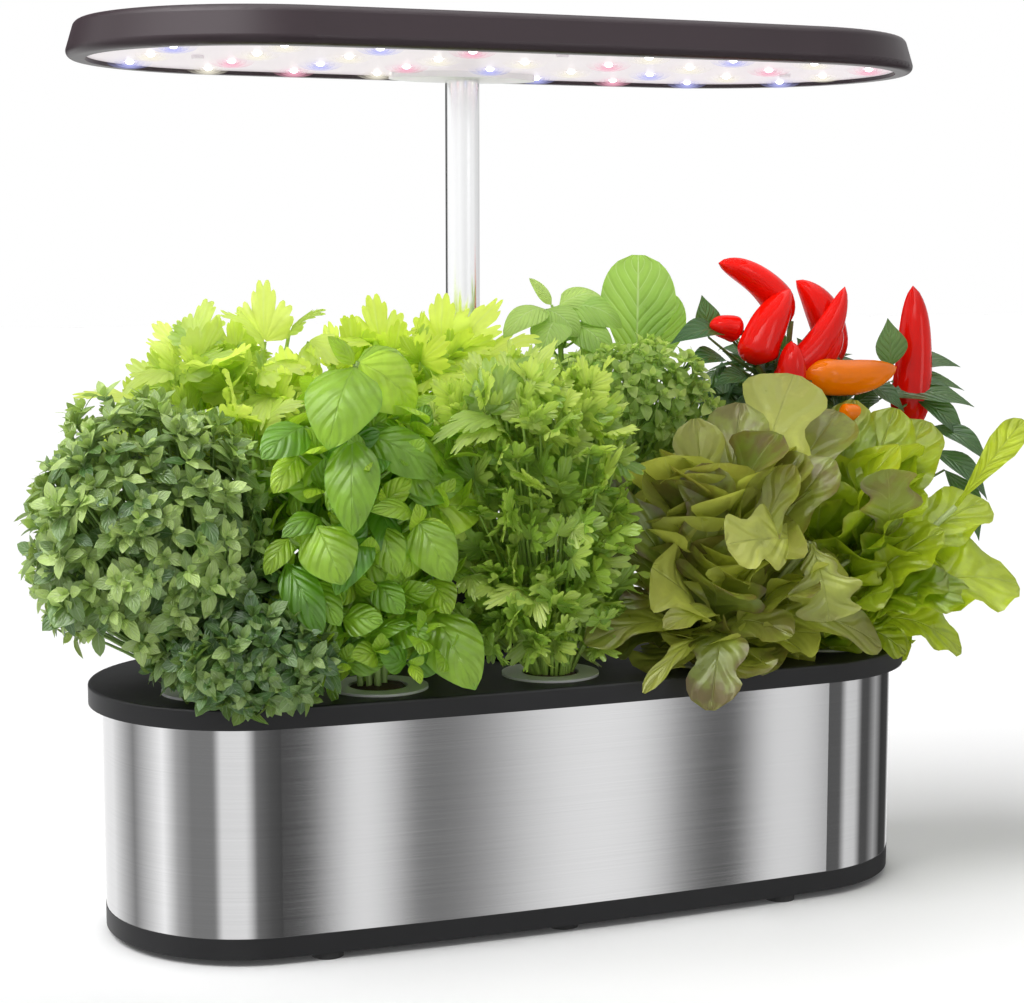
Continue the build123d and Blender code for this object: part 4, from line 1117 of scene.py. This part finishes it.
def up_from(collar, points, spread, thick, thin):
    """A stalk from the collar to each point, with its bend above the collar."""
    points = np.atleast_2d(points)
    collar = np.asarray(collar, float)
    start = collar + (points - collar) * (spread, spread, 0)
    reach = np.linalg.norm(start[:, :2] - collar[:2], axis=1, keepdims=True)
    inside = np.minimum(1, CUP_MOUTH / np.maximum(reach, 1e-6))
    start[:, :2] = collar[:2] + (start[:, :2] - collar[:2]) * inside
    middle = start * 0.6 + points * 0.4
    middle[:, 2] = start[:, 2] + (points[:, 2] - start[:, 2]) * 0.55
    return stalks(start, middle, points, thick, thin, 6)


def off_stem(foot, head, points, thick, thin):
    """A side stalk to each point from a main stem that runs from foot to head."""
    points, foot, head = np.atleast_2d(points), np.asarray(foot, float), np.asarray(head, float)
    drop = np.linalg.norm((points - foot)[:, :2], axis=1) * 0.5
    share = np.clip((points[:, 2] - drop - foot[2]) / (head[2] - foot[2]), 0.03, 0.97)[:, None]
    start = foot + (head - foot) * share
    middle = start * 0.4 + points * 0.6 + (0, 0, -2)
    return stalks(start, middle, points, thick, thin, 4)


def plant(name, leaf_batches, stalk_batches):
    """The two pieces of a plant, on its pod."""
    shown = piece(name + "_leaves", leaf_batches, [leaves[name]])
    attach(shown, name + "_pod")
    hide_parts(name + "_plant")
    held = piece(name + "_stalks", stalk_batches, [stalk_finish[name]])
    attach(held, name + "_pod")


print("stalks leave their cup within", CUP_MOUTH, "mm of its middle")

# %% [markdown]
# ## Pods
#
# Each pod is a slotted cup with a sponge plug that the plant grows from. The cup and its collar
# come as solids; the sponge is remade here with its crumbly top, and the plant stands in it.

# %% Pod places, from the solids
pods = {}
for name in leaves:
    low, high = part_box(name + "_basket")
    pods[name] = np.array([(low.x + high.x) / 2, (low.y + high.y) / 2, high.z]) / MM
print({name: place.round(1).tolist() for name, place in pods.items()})

# %% [markdown]
# ### Sponge plugs
#
# The profile is radius and height in millimetres, from the middle of the top to the middle of the
# foot.


# %% Sponge plugs
PLUG_PROFILE = [(0.3, 1.2), (6, 1.0), (11.5, -0.2), (12.6, -1.4), (12.8, -3.5), (14.6, -4.2),
                (13.6, -16), (12.4, -28), (11.2, -39), (9, -41), (0.3, -41.5)]
PLUG_SIDES = 32
sponge = moulded("sponge", (0.055, 0.035, 0.02), 0.9, 0.9, 420, 0.0006)


def plug(name):
    """The sponge in one pod: a tapered plug, sunk a little at its crumbly top."""
    x, y, top = pods[name]
    r, z = (np.array(column, float)[:, None] for column in zip(*PLUG_PROFILE))
    angle = np.linspace(0, 2 * np.pi, PLUG_SIDES + 1)[None]
    rough = 1 + 0.03 * np.sin(7 * angle + z) * np.cos(3 * angle - z)
    crumbs = 0.3 * np.sin(5 * angle) * (r > 2)
    verts = np.stack([x + r * rough * np.cos(angle), y + r * rough * np.sin(angle),
                      top + z + crumbs], -1).reshape(1, -1, 3)
    bands = len(PLUG_PROFILE) - 1
    v, u = grid(bands, PLUG_SIDES)
    made = piece(name + "_plug", [(verts, bands, PLUG_SIDES, as_uv(u, v), 0.5, 0)], [sponge])
    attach(made, name + "_pod")
    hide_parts(name + "_plant")


for name in pods:
    plug(name)

# %% [markdown]
# ## Bush basil
#
# A tight ball of tiny pointed leaves in crossed pairs, with a few broad old leaves low down on the
# left. Hundreds of rosettes over a lumpy crown give the dense, tiled look.

# %% Bush basil
collar = pods["bush_basil"]
ball, ball_way = dome(420, (-178, -24, 182), (54, 52, 60), -0.75, 0.25, 3)
skirt, skirt_way = dome(180, (-146, -50, 142), (38, 30, 36), -0.8, 0.3, 4)
hem, hem_way = dome(80, (-143, -80, 134), (32, 8, 18), -1.0, 0.3, 7, least=114)
below, below_way = np.concatenate([skirt, hem]), np.concatenate([skirt_way, hem_way])
tiny_leaves = (3, (9, 14), 0.56, (30, 88))
foliage = rosettes("small_egg", ball, ball_way, *tiny_leaves, 5, 0.08, 0.12, (-0.1, 1.0))
# The leaves under the ball get darker tones than those on it: painted shade under the ball.
foliage += rosettes("small_egg", below, below_way, *tiny_leaves, 50, 0.08, 0.12, (-0.4, 0.35))
old = [((-206, -34, 180), (-230, -40, 167), 15, 0.1, 0.1),
       ((-208, -44, 165), (-225, -56, 151), 21, 0.1, 0.1),
       ((-208, -48, 181), (-222, -58, 174), 11, 0.1, 0.2),
       ((-205, -30, 160), (-226, -34, 146), 14, 0.1, 0.0)]
foliage.append(hand_placed("egg", old, (-0.4, -0.8, 0.4), 6))
plant("bush_basil", foliage, [up_from(collar, ball[::2], 0.2, 1.2, 0.5),
                              up_from(collar, bases(old), 0.2, 1.5, 0.8)])

# %% [markdown]
# ## Sweet basil
#
# Big glossy leaves that bulge between their veins and hang by their stalks. The ones in front are
# placed one by one, each with its own base, tip and width; smaller rosettes fill the plant behind.

# %% Sweet basil
collar = pods["sweet_basil"]
stem_head = np.array((-96, -58, 254))
hanging = [
    ((-97, -62, 255), (-115, -80, 222), 32, 0.18, 0.45),
    ((-95, -60, 257), (-68, -56, 236), 27, 0.18, 0.95),
    ((-97, -60, 256), (-109, -62, 268), 8, 0.1, 0.6),
    ((-94, -55, 257), (-64, -40, 252), 14, 0.2, 0.6),
    ((-118, -58, 230), (-140, -68, 218), 19, 0.15, 0.15),
    ((-121, -58, 218), (-134, -64, 203), 13, 0.1, 0.9),
    ((-101, -70, 226), (-107, -88, 187), 23, 0.12, 0.35),
    ((-92, -66, 226), (-64, -72, 208), 21, 0.2, 0.3),
    ((-78, -66, 201), (-48, -62, 205), 19, 0.15, 0.3),
    ((-66, -60, 194), (-38, -58, 191), 25, 0.12, 1.0),
    ((-74, -74, 190), (-63, -86, 165), 21, 0.14, 0.5),
    ((-76, -74, 194), (-98, -84, 196), 11, 0.15, 0.6),
    ((-114, -66, 192), (-134, -76, 186), 12, 0.2, 0.2),
    ((-118, -74, 190), (-112, -90, 167), 25, 0.12, 0.5),
    ((-96, -74, 184), (-114, -86, 162), 16, 0.2, 0.05),
    ((-128, -66, 184), (-140, -72, 170), 11, 0.15, 0.6),
    ((-130, -68, 174), (-120, -86, 146), 17, 0.15, 0.1),
    ((-130, -62, 163), (-134, -76, 142), 13, 0.12, 0.8),
    ((-120, -70, 166), (-112, -86, 149), 14, 0.12, 0.3),
    ((-108, -76, 150), (-94, -88, 150), 15, 0.15, 0.35),
    ((-84, -72, 145), (-73, -86, 141), 17, 0.15, 0.3),
    ((-64, -66, 148), (-53, -88, 118), 27, 0.15, 0.45),
    ((-119, -62, 137), (-121, -82, 119), 13, 0.15, 0.5),
    ((-110, -66, 148), (-118, -82, 131), 13, 0.15, 0.3),
    ((-96, -70, 142), (-86, -80, 132), 13, 0.15, 0.2),
    ((-92, -72, 164), (-84, -84, 152), 14, 0.15, 0.25),
    ((-63, -60, 162), (-60, -76, 149), 16, 0.15, 0.8),
    ((-89, -70, 188), (-86, -82, 168), 16, 0.12, 0.5),
]
spots, ways = dome(72, (-90, -46, 186), (42, 28, 62), -0.95, 0.45, 8)
spots[:, 1] = np.maximum(spots[:, 1], -70)
low_spots, low_ways = dome(22, (-90, -66, 134), (34, 18, 18), -0.4, 0.4, 11)
foliage = [hand_placed("egg", hanging, (-0.35, -0.85, 0.55), 9, 0.02, cup=-0.3)]
foliage += rosettes("egg", spots, ways, 2, (18, 30), 0.66, (40, 85), 10, 0.16, -0.2, (0.0, 0.75))
foliage += rosettes("egg", low_spots, low_ways, 2, (14, 20), 0.7, (30, 75), 15, 0.16, -0.2,
                    (0.1, 0.7))
forks = [(-92, -50, 170), (-84, -40, 190), (-78, -46, 160), (-98, -44, 200), (-86, -54, 150)]
plant("sweet_basil", foliage, [
    up_from(collar, [stem_head], 0.1, 2.2, 1.3), up_from(collar, forks, 0.5, 1.8, 1.1),
    off_stem(collar, stem_head, bases(hanging), 1.1, 0.7),
    off_stem(collar, stem_head, spots, 1.1, 0.6)])

# %% [markdown]
# ## Parsley
#
# Thin bright stalks rise together from the collar and open into lobed fans, grey-green and broad
# on top, small and deep green below. The top fans get paler tones as painted light, and the low
# ones darker tones as painted shade.

# %% Parsley
collar = pods["parsley"]
top_fans = [
    ((-32, -58, 233), (-32, -50, 257), 26, 0.1, 0.3),
    ((-28, -58, 235), (7, -44, 250), 15, 0.15, 0.2),
    ((-32, -58, 231), (-66, -70, 222), 15, 0.15, 0.4),
    ((-34, -60, 228), (-58, -74, 218), 16, 0.12, 0.6),
    ((12, -40, 225), (38, -30, 234), 18, 0.1, 0.3), ((12, -40, 225), (6, -60, 219), 14, 0.1, 0.5),
    ((-20, -70, 154), (-46, -80, 152), 17, 0.15, 0.9),
    ((-20, -72, 154), (-21, -86, 142), 13, 0.1, 0.9),
    ((-37, -70, 158), (-49, -76, 156), 10, 0.1, 0.8),
    ((-45, -60, 163), (-46, -72, 153), 15, 0.1, 0.7),
    ((-35, -58, 233), (-7, -40, 257), 15, 0.12, 0.2),
    ((12, -42, 226), (36, -52, 222), 16, 0.12, 0.3),
]
spots, ways = dome(190, (-6, -48, 184), (44, 32, 64), -0.9, 0.55, 12)
low_spots, low_ways = dome(60, (-14, -60, 140), (36, 24, 24), -0.6, 0.5, 18)
high_spots, high_ways = dome(40, (-12, -40, 226), (42, 26, 26), -0.3, 0.4, 19)
foliage = [hand_placed("celery_fan", top_fans, (-0.3, -0.6, 0.75), 13, 0.05, 1.4, -0.15)]
foliage += sprigs("parsley_fan", spots, ways, (11, 19), 14, (0.0, 0.8))
# Low sprigs get darker tones, a painted shade, and high ones paler tones, a painted light.
foliage += sprigs("parsley_fan", low_spots, low_ways, (10, 16), 23, (0.0, 0.6))
foliage += sprigs("celery_fan", high_spots, high_ways, (14, 21), 24, (0.7, 1.2))
plant("parsley", foliage, [up_from(collar, spots[::3], 0.35, 1.0, 0.5),
                           up_from(collar, high_spots[::2], 0.35, 1.1, 0.6),
                           up_from(collar, bases(top_fans), 0.35, 1.2, 0.8)])

# %% [markdown]
# ## Celery and lovage
#
# Two tall clumps at the back with the brightest leaves of the garden: broad toothed fans, almost
# yellow where the light comes through them.

# %% Celery
collar = pods["celery"]
tops = [
    ((-111, 30, 262), (-110, 34, 290), 28, 0.08, 0.9),
    ((-100, 28, 266), (-88, 10, 276), 16, 0.1, 0.3),
    ((-112, 28, 262), (-134, 20, 276), 20, 0.1, 0.8),
    ((-151, 30, 248), (-166, 26, 264), 18, 0.1, 0.9),
    ((-153, 20, 248), (-127, 2, 257), 22, 0.12, 0.35),
    ((-158, 20, 250), (-182, 10, 240), 15, 0.12, 0.6),
    ((-126, -10, 226), (-108, -24, 238), 18, 0.12, 0.7),
    ((-132, -34, 203), (-158, -56, 197), 14, 0.12, 0.7),
    ((-176, 4, 238), (-205, 0, 241), 13, 0.1, 0.95),
    ((-120, 6, 250), (-104, -12, 250), 24, 0.1, 0.9),
    ((-116, 0, 240), (-128, -18, 226), 22, 0.1, 0.8),
    ((-92, 24, 262), (-80, 14, 252), 22, 0.1, 0.9),
]
spots, ways = dome(84, (-132, 30, 216), (48, 36, 46), -0.8, 0.5, 16)
foliage = [hand_placed("celery_fan", tops, (-0.3, -0.5, 0.8), 17, 0.05, 1.4, -0.15)]
foliage += sprigs("celery_fan", spots, ways, (18, 27), 18, (0.0, 1.1))
plant("celery", foliage, [up_from(collar, spots[::2], 0.25, 2.0, 0.9),
                          up_from(collar, bases(tops), 0.25, 1.8, 0.9)])

# %% [markdown]
# ### Lovage
#
# The same fans on slightly thinner stalks, beside the mast.

# %% Lovage
collar = pods["lovage"]
tops = [
    ((-55, 30, 258), (-58, 34, 283), 28, 0.08, 0.9), ((-52, 26, 256), (-40, 10, 262), 24, 0.1, 0.9),
    ((-22, 38, 256), (-20, 42, 283), 30, 0.08, 0.95),
    ((-24, 34, 256), (-40, 26, 262), 18, 0.1, 0.2),
    ((-56, 26, 256), (-78, 14, 262), 24, 0.1, 0.8), ((-22, 30, 252), (-6, 12, 256), 24, 0.1, 0.8),
    ((-60, 12, 246), (-66, -6, 238), 26, 0.1, 0.85), ((-36, 8, 246), (-34, -12, 240), 26, 0.1, 0.8),
    ((-14, 6, 244), (-6, -14, 240), 22, 0.1, 0.7), ((-16, 34, 254), (8, 38, 280), 30, 0.08, 0.9),
    ((-10, 24, 250), (20, 16, 262), 24, 0.1, 0.85),
]
spots, ways = dome(84, (-42, 32, 210), (42, 32, 50), -0.8, 0.5, 20)
foliage = [hand_placed("celery_fan", tops, (-0.3, -0.5, 0.8), 21, 0.05, 1.4, -0.15)]
foliage += sprigs("celery_fan", spots, ways, (18, 26), 22, (0.0, 1.1))
plant("lovage", foliage, [up_from(collar, spots[::2], 0.25, 1.9, 0.9),
                          up_from(collar, bases(tops), 0.25, 1.8, 0.9)])

# %% [markdown]
# ## Tall basil with a cos leaf
#
# The pod behind the mast's right side holds a tall basil, small-leaved low down and broad at the
# top, and one pale upright paddle of cos lettuce.

# %% Tall basil
collar = pods["tall_basil"]
tops = [
    ((31, 36, 275), (5, 26, 262), 16, 0.2, 0.4), ((31, 36, 275), (43, 24, 262), 18, 0.2, 0.3),
    ((38, 36, 277), (67, 44, 278), 17, 0.2, 0.4), ((34, 36, 277), (23, 38, 290), 7, 0.1, 0.5),
    ((43, 36, 277), (68, 28, 266), 19, 0.2, 0.2), ((36, 34, 270), (22, 18, 254), 20, 0.2, 0.3),
    ((44, 34, 268), (58, 18, 252), 18, 0.2, 0.2),
]
spots, ways = dome(46, (46, 40, 206), (32, 26, 56), -0.7, 0.5, 24)
tiny, tiny_ways = dome(230, (66, 8, 228), (42, 24, 32), -0.9, 0.35, 25)
cos_leaf = [((79, 36, 240), (82, 40, 301), 37, 0.04, 0.1),
            ((86, 40, 236), (98, 44, 284), 28, 0.06, 0.0)]
foliage = [hand_placed("egg", tops, (-0.3, -0.6, 0.7), 26, 0.0, cup=-0.25),
           hand_placed("paddle", cos_leaf, (-0.3, -0.9, 0.2), 27, 0.02, 2.0, 0.1)]
foliage += rosettes("egg", spots, ways, 2, (14, 22), 0.6, (40, 80), 28, 0.15, -0.2, (0.1, 0.8))
foliage += rosettes("small_egg", tiny, tiny_ways, 3, (7, 10), 0.62, (25, 80), 29, tones=(0.1, 1.0))
head = np.array((38, 36, 274))
plant("tall_basil", foliage, [
    up_from(collar, [head], 0.1, 2.4, 1.3), off_stem(collar, head, bases(tops), 1.2, 0.7),
    off_stem(collar, head, spots, 1.1, 0.6), up_from(collar, tiny, 0.3, 1.0, 0.4),
    up_from(collar, bases(cos_leaf), 0.3, 2.4, 2.0)])

# %% [markdown]
# ## Red oak-leaf lettuce
#
# Long leaves fountain from the collar, narrow and pale at the foot and cut into round lobes at
# the head, olive in the light and wine-dark at the margins. One hangs over the edge of the deck.

# %% Red lettuce
collar = pods["red_lettuce"] + (0, 0, 2)
foot = [(82, -44, 117), (86, -40, 117), (78, -42, 117), (84, -48, 117)]
fronds = [
    (foot[1], (138, -18, 244), 44, 0.16, 0.75), (foot[2], (69, -62, 208), 28, 0.10, 0.25),
    (foot[2], (20, -50, 176), 26, 0.14, 0.0), (foot[2], (20, -40, 205), 24, 0.12, 0.1),
    (foot[0], (76, -36, 226), 26, 0.08, 0.6), (foot[3], (57, -92, 101), 27, 0.42, 0.2),
    (foot[3], (27, -86, 110), 9, 0.25, 0.7), (foot[2], (5, -72, 131), 20, 0.2, 0.5),
    (foot[3], (37, -86, 138), 14, 0.25, 0.6), (foot[2], (24, -66, 148), 14, 0.2, 0.1),
    (foot[1], (155, -74, 120), 26, 0.3, 0.5), (foot[0], (100, -88, 131), 26, 0.3, 0.45),
    (foot[1], (160, -22, 226), 38, 0.14, 0.5), (foot[0], (104, -28, 232), 32, 0.1, 0.4),
    (foot[1], (132, -66, 208), 28, 0.12, 0.3), (foot[3], (106, -76, 207), 20, 0.1, 0.45),
]
lobed = [
    ((125, -60, 167), (67, -86, 174), 31, 0.12, 0.95),
    ((169, -50, 166), (156, -74, 203), 30, 0.15, 0.05),
    ((121, -66, 170), (120, -86, 136), 34, 0.12, 0.6),
]
foliage = [hand_placed("oak", fronds, (-0.25, -0.6, 0.8), 32, 0.09, 2.6, 0.2),
           hand_placed("oak", lobed, (-0.3, -0.85, 0.45), 33, 0.08, 2.4, 0.1),
           fountain("oak", collar, 20, (42, 30), (76, 106), (38, 54), 34, 0.09, 2.4, (8, 0)),
           fountain("oak", collar, 22, (58, 40), (26, 70), (38, 52), 38, 0.10, 2.6, (6, -4)),
           fountain("oak", collar, 12, (26, 20), (52, 84), (34, 46), 39, 0.10, 2.6, (0, -4)),
           fountain("oak", collar, 16, (50, 34), (8, 28), (32, 42), 45, 0.10, 2.6, (2, -4)),
           fountain("oak", collar, 12, (44, 34), (-3, 1), (32, 42), 47, 0.08, 2.6, (0, -6))]
plant("red_lettuce", foliage, [up_from(collar, bases(lobed), 0.3, 1.8, 1.2)])

# %% [markdown]
# ## Green lettuce
#
# The bright loose-leaf lettuce at the right end: broad heads, quilted all over, with frilled edges
# that reach out past the deck.

# %% Green lettuce
collar = pods["green_lettuce"] + (0, 0, 2)
fronds = [
    ((154, -24, 117), (222, -4, 218), 36, 0.14, 0.6),
    ((156, -28, 117), (240, -30, 180), 34, 0.16, 0.8),
    ((156, -30, 117), (238, -62, 143), 46, 0.22, 0.75),
    ((154, -32, 117), (206, -72, 141), 28, 0.2, 0.2),
    ((156, -30, 117), (207, -62, 112), 24, 0.3, 0.8),
    ((152, -30, 117), (196, -60, 171), 30, 0.14, 0.9),
    ((154, -32, 117), (176, -62, 113), 20, 0.3, 0.5),
    ((154, -24, 117), (196, -16, 226), 34, 0.1, 0.5),
    ((150, -20, 117), (178, -6, 230), 30, 0.1, 0.3), ((156, -22, 117), (236, 0, 160), 36, 0.2, 0.5),
]
arm = [((216, -40, 179), (250, -46, 221), 15, 0.14, 0.9)]
foliage = [hand_placed("frill", fronds, (-0.25, -0.55, 0.8), 35, 0.11, 4.4, 0.15),
           hand_placed("frill", arm, (-0.3, -0.85, 0.45), 36, 0.12, 5.0, 0.1),
           fountain("frill", collar, 16, (40, 34), (70, 100), (38, 52), 37, 0.11, 3.6, (18, 0)),
           fountain("frill", collar, 18, (46, 38), (24, 62), (36, 48), 44, 0.12, 3.8, (16, -6)),
           fountain("frill", collar, 14, (40, 32), (9, 26), (30, 40), 46, 0.12, 3.8, (8, -4)),
           fountain("frill", collar, 10, (40, 32), (-3, 1), (30, 40), 48, 0.09, 3.8, (2, -6))]
plant("green_lettuce", foliage, [up_from(collar, bases(arm), 0.3, 1.8, 1.6)])

# %% [markdown]
# ## Chili
#
# A small woody bush with dark lance-shaped leaves, nearly black in the shade.

# %% Chili leaves
collar = pods["chili"]
crown = np.array((158, 28, 236))
lances = [
    ((222, 30, 242), (258, 22, 243), 14, 0.14, 0.3),
    ((212, 20, 230), (259, 10, 223), 18, 0.12, 0.35),
    ((218, 26, 236), (258, 18, 231), 12, 0.12, 0.5), ((226, 14, 228), (250, 4, 204), 15, 0.15, 0.2),
    ((232, 8, 214), (258, -6, 195), 14, 0.15, 0.1), ((230, 4, 202), (256, -8, 177), 15, 0.15, 0.1),
    ((238, 4, 192), (253, -6, 156), 15, 0.15, 0.1), ((230, -4, 144), (255, -14, 128), 13, 0.1, 0.1),
    ((119, 36, 260), (116, 38, 281), 13, 0.1, 0.3), ((126, 30, 262), (88, 16, 258), 16, 0.12, 0.0),
    ((134, 38, 260), (130, 44, 270), 10, 0.1, 0.2), ((124, 24, 248), (92, 10, 246), 14, 0.15, 0.1),
    ((136, 20, 238), (106, 6, 237), 14, 0.15, 0.1), ((213, 18, 244), (210, 16, 269), 17, 0.08, 1.0),
    ((200, 20, 236), (216, 8, 222), 12, 0.12, 0.2), ((170, 12, 232), (158, -2, 216), 14, 0.12, 0.1),
]
spots, ways = dome(60, (165, 42, 212), (44, 40, 42), -0.6, 0.5, 41)
foliage = [hand_placed("lance", lances, (-0.2, -0.6, 0.8), 42, 0.02, 2.0, 0.25)]
foliage += rosettes("lance", spots, ways, 2, (26, 38), 0.36, (45, 85), 43, 0.14, 0.25, (0.0, 0.5))
plant("chili", foliage, [
    up_from(collar, [crown], 0.1, 3.4, 2.0), off_stem(collar, crown, bases(lances), 1.3, 0.6),
    off_stem(collar, crown, spots, 1.4, 0.7)])

# %% [markdown]
# ### Peppers
#
# Each pepper is a bent tube with a glossy skin that swells below its stalk and tapers to its tip.
# A row is its stalk's end, its tip, how it bends between them, its radius, where its bumps lie, and
# 0 for red or 1 for orange.


# %% Peppers
def pepper_skin(name, colour):
    """Glossy fruit skin with broad faint clouds."""
    return moulded(name, colour, 0.1, 0.3, 60, 0.0003, Specular_IOR_Level=0.2)


red_skin = pepper_skin("pepper_red", (0.80, 0.006, 0.002))
orange_skin = pepper_skin("pepper_orange", (1.0, 0.22, 0.0))
cap_green = moulded("pepper_cap", (0.16, 0.26, 0.06), 0.5, 0.4, 300, 0.0001)


def pepper(stalk_end, tip, side_bend, radius, bumps, skin_slot):
    """One fruit as a batch: a bent line, with a radius that swells and then tapers to the tip."""
    rings, sides = 20, 16
    stalk_end, tip, side_bend = (np.asarray(v, float) for v in (stalk_end, tip, side_bend))
    t = np.linspace(0, 1, rings + 1)[:, None]
    line = stalk_end * (1 - t) + tip * t + side_bend * (4 * t * (1 - t))
    ahead = unit(np.gradient(line, axis=0))
    side = unit(np.cross(ahead, (0.3, 0.9, 0.2)))
    up = np.cross(side, ahead)
    swell = np.sin(np.pi / 2 * np.clip(t / 0.28, 0, 1)) ** 0.7 * np.clip(1 - t ** 3.6, 0, 1) ** 0.72
    angle = np.linspace(0, 2 * np.pi, sides + 1)[None, :]
    flute = 1 + 0.03 * np.cos(3 * angle + bumps) * (1 - t) + 0.04 * np.sin(8 * t + bumps)
    size = (radius * swell + 0.2) * flute
    over, rise = (np.cos(angle) * size)[..., None], (np.sin(angle) * size)[..., None]
    skin = side[:, None] * over + up[:, None] * rise
    v, u = grid(rings, sides)
    return (line[:, None] + skin).reshape(1, -1, 3), rings, sides, as_uv(u, v), 0.5, skin_slot


peppers = [
    ((160, 26, 268), (117, 22, 297), (3, 0, 5), 8.0, 0.2, 0),
    ((134, 14, 247), (155, 18, 284), (-6, -2, -3), 10.5, 1.4, 0),
    ((140, 8, 240), (186, 18, 285), (4, -3, -5), 7.5, 2.6, 0),
    ((184, 26, 243), (166, 32, 288), (6, 0, 4), 9.0, 3.1, 0),
    ((132, 25, 263), (114, 25, 266), (0, 0, 1), 6.5, 0.5, 0),
    ((146, 5, 226), (148, 4, 259), (1, -1, 0), 8.0, 1.0, 0),
    ((224, 20, 206), (232, 28, 285), (3, 0, 2), 10.0, 0.3, 0),
    ((162, 14, 238), (180, 14, 268), (1, 0, 2), 9.0, 2.2, 0),
    ((154, 5, 244), (209, 5, 245), (0, -1, -4), 9.4, 1.9, 1),
    ((170, -6, 222), (184, -8, 222), (0, 0, 1), 5.5, 0.9, 1),
]
fruit = piece("chili_peppers", [pepper(*row) for row in peppers], [red_skin, orange_skin])
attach(fruit, "chili_pod")
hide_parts("chili_fruits")
holders = piece("chili_pepper_stalks",
                [off_stem(collar, crown, bases(peppers), 1.6, 1.5)], [cap_green])
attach(holders, "chili_pod")
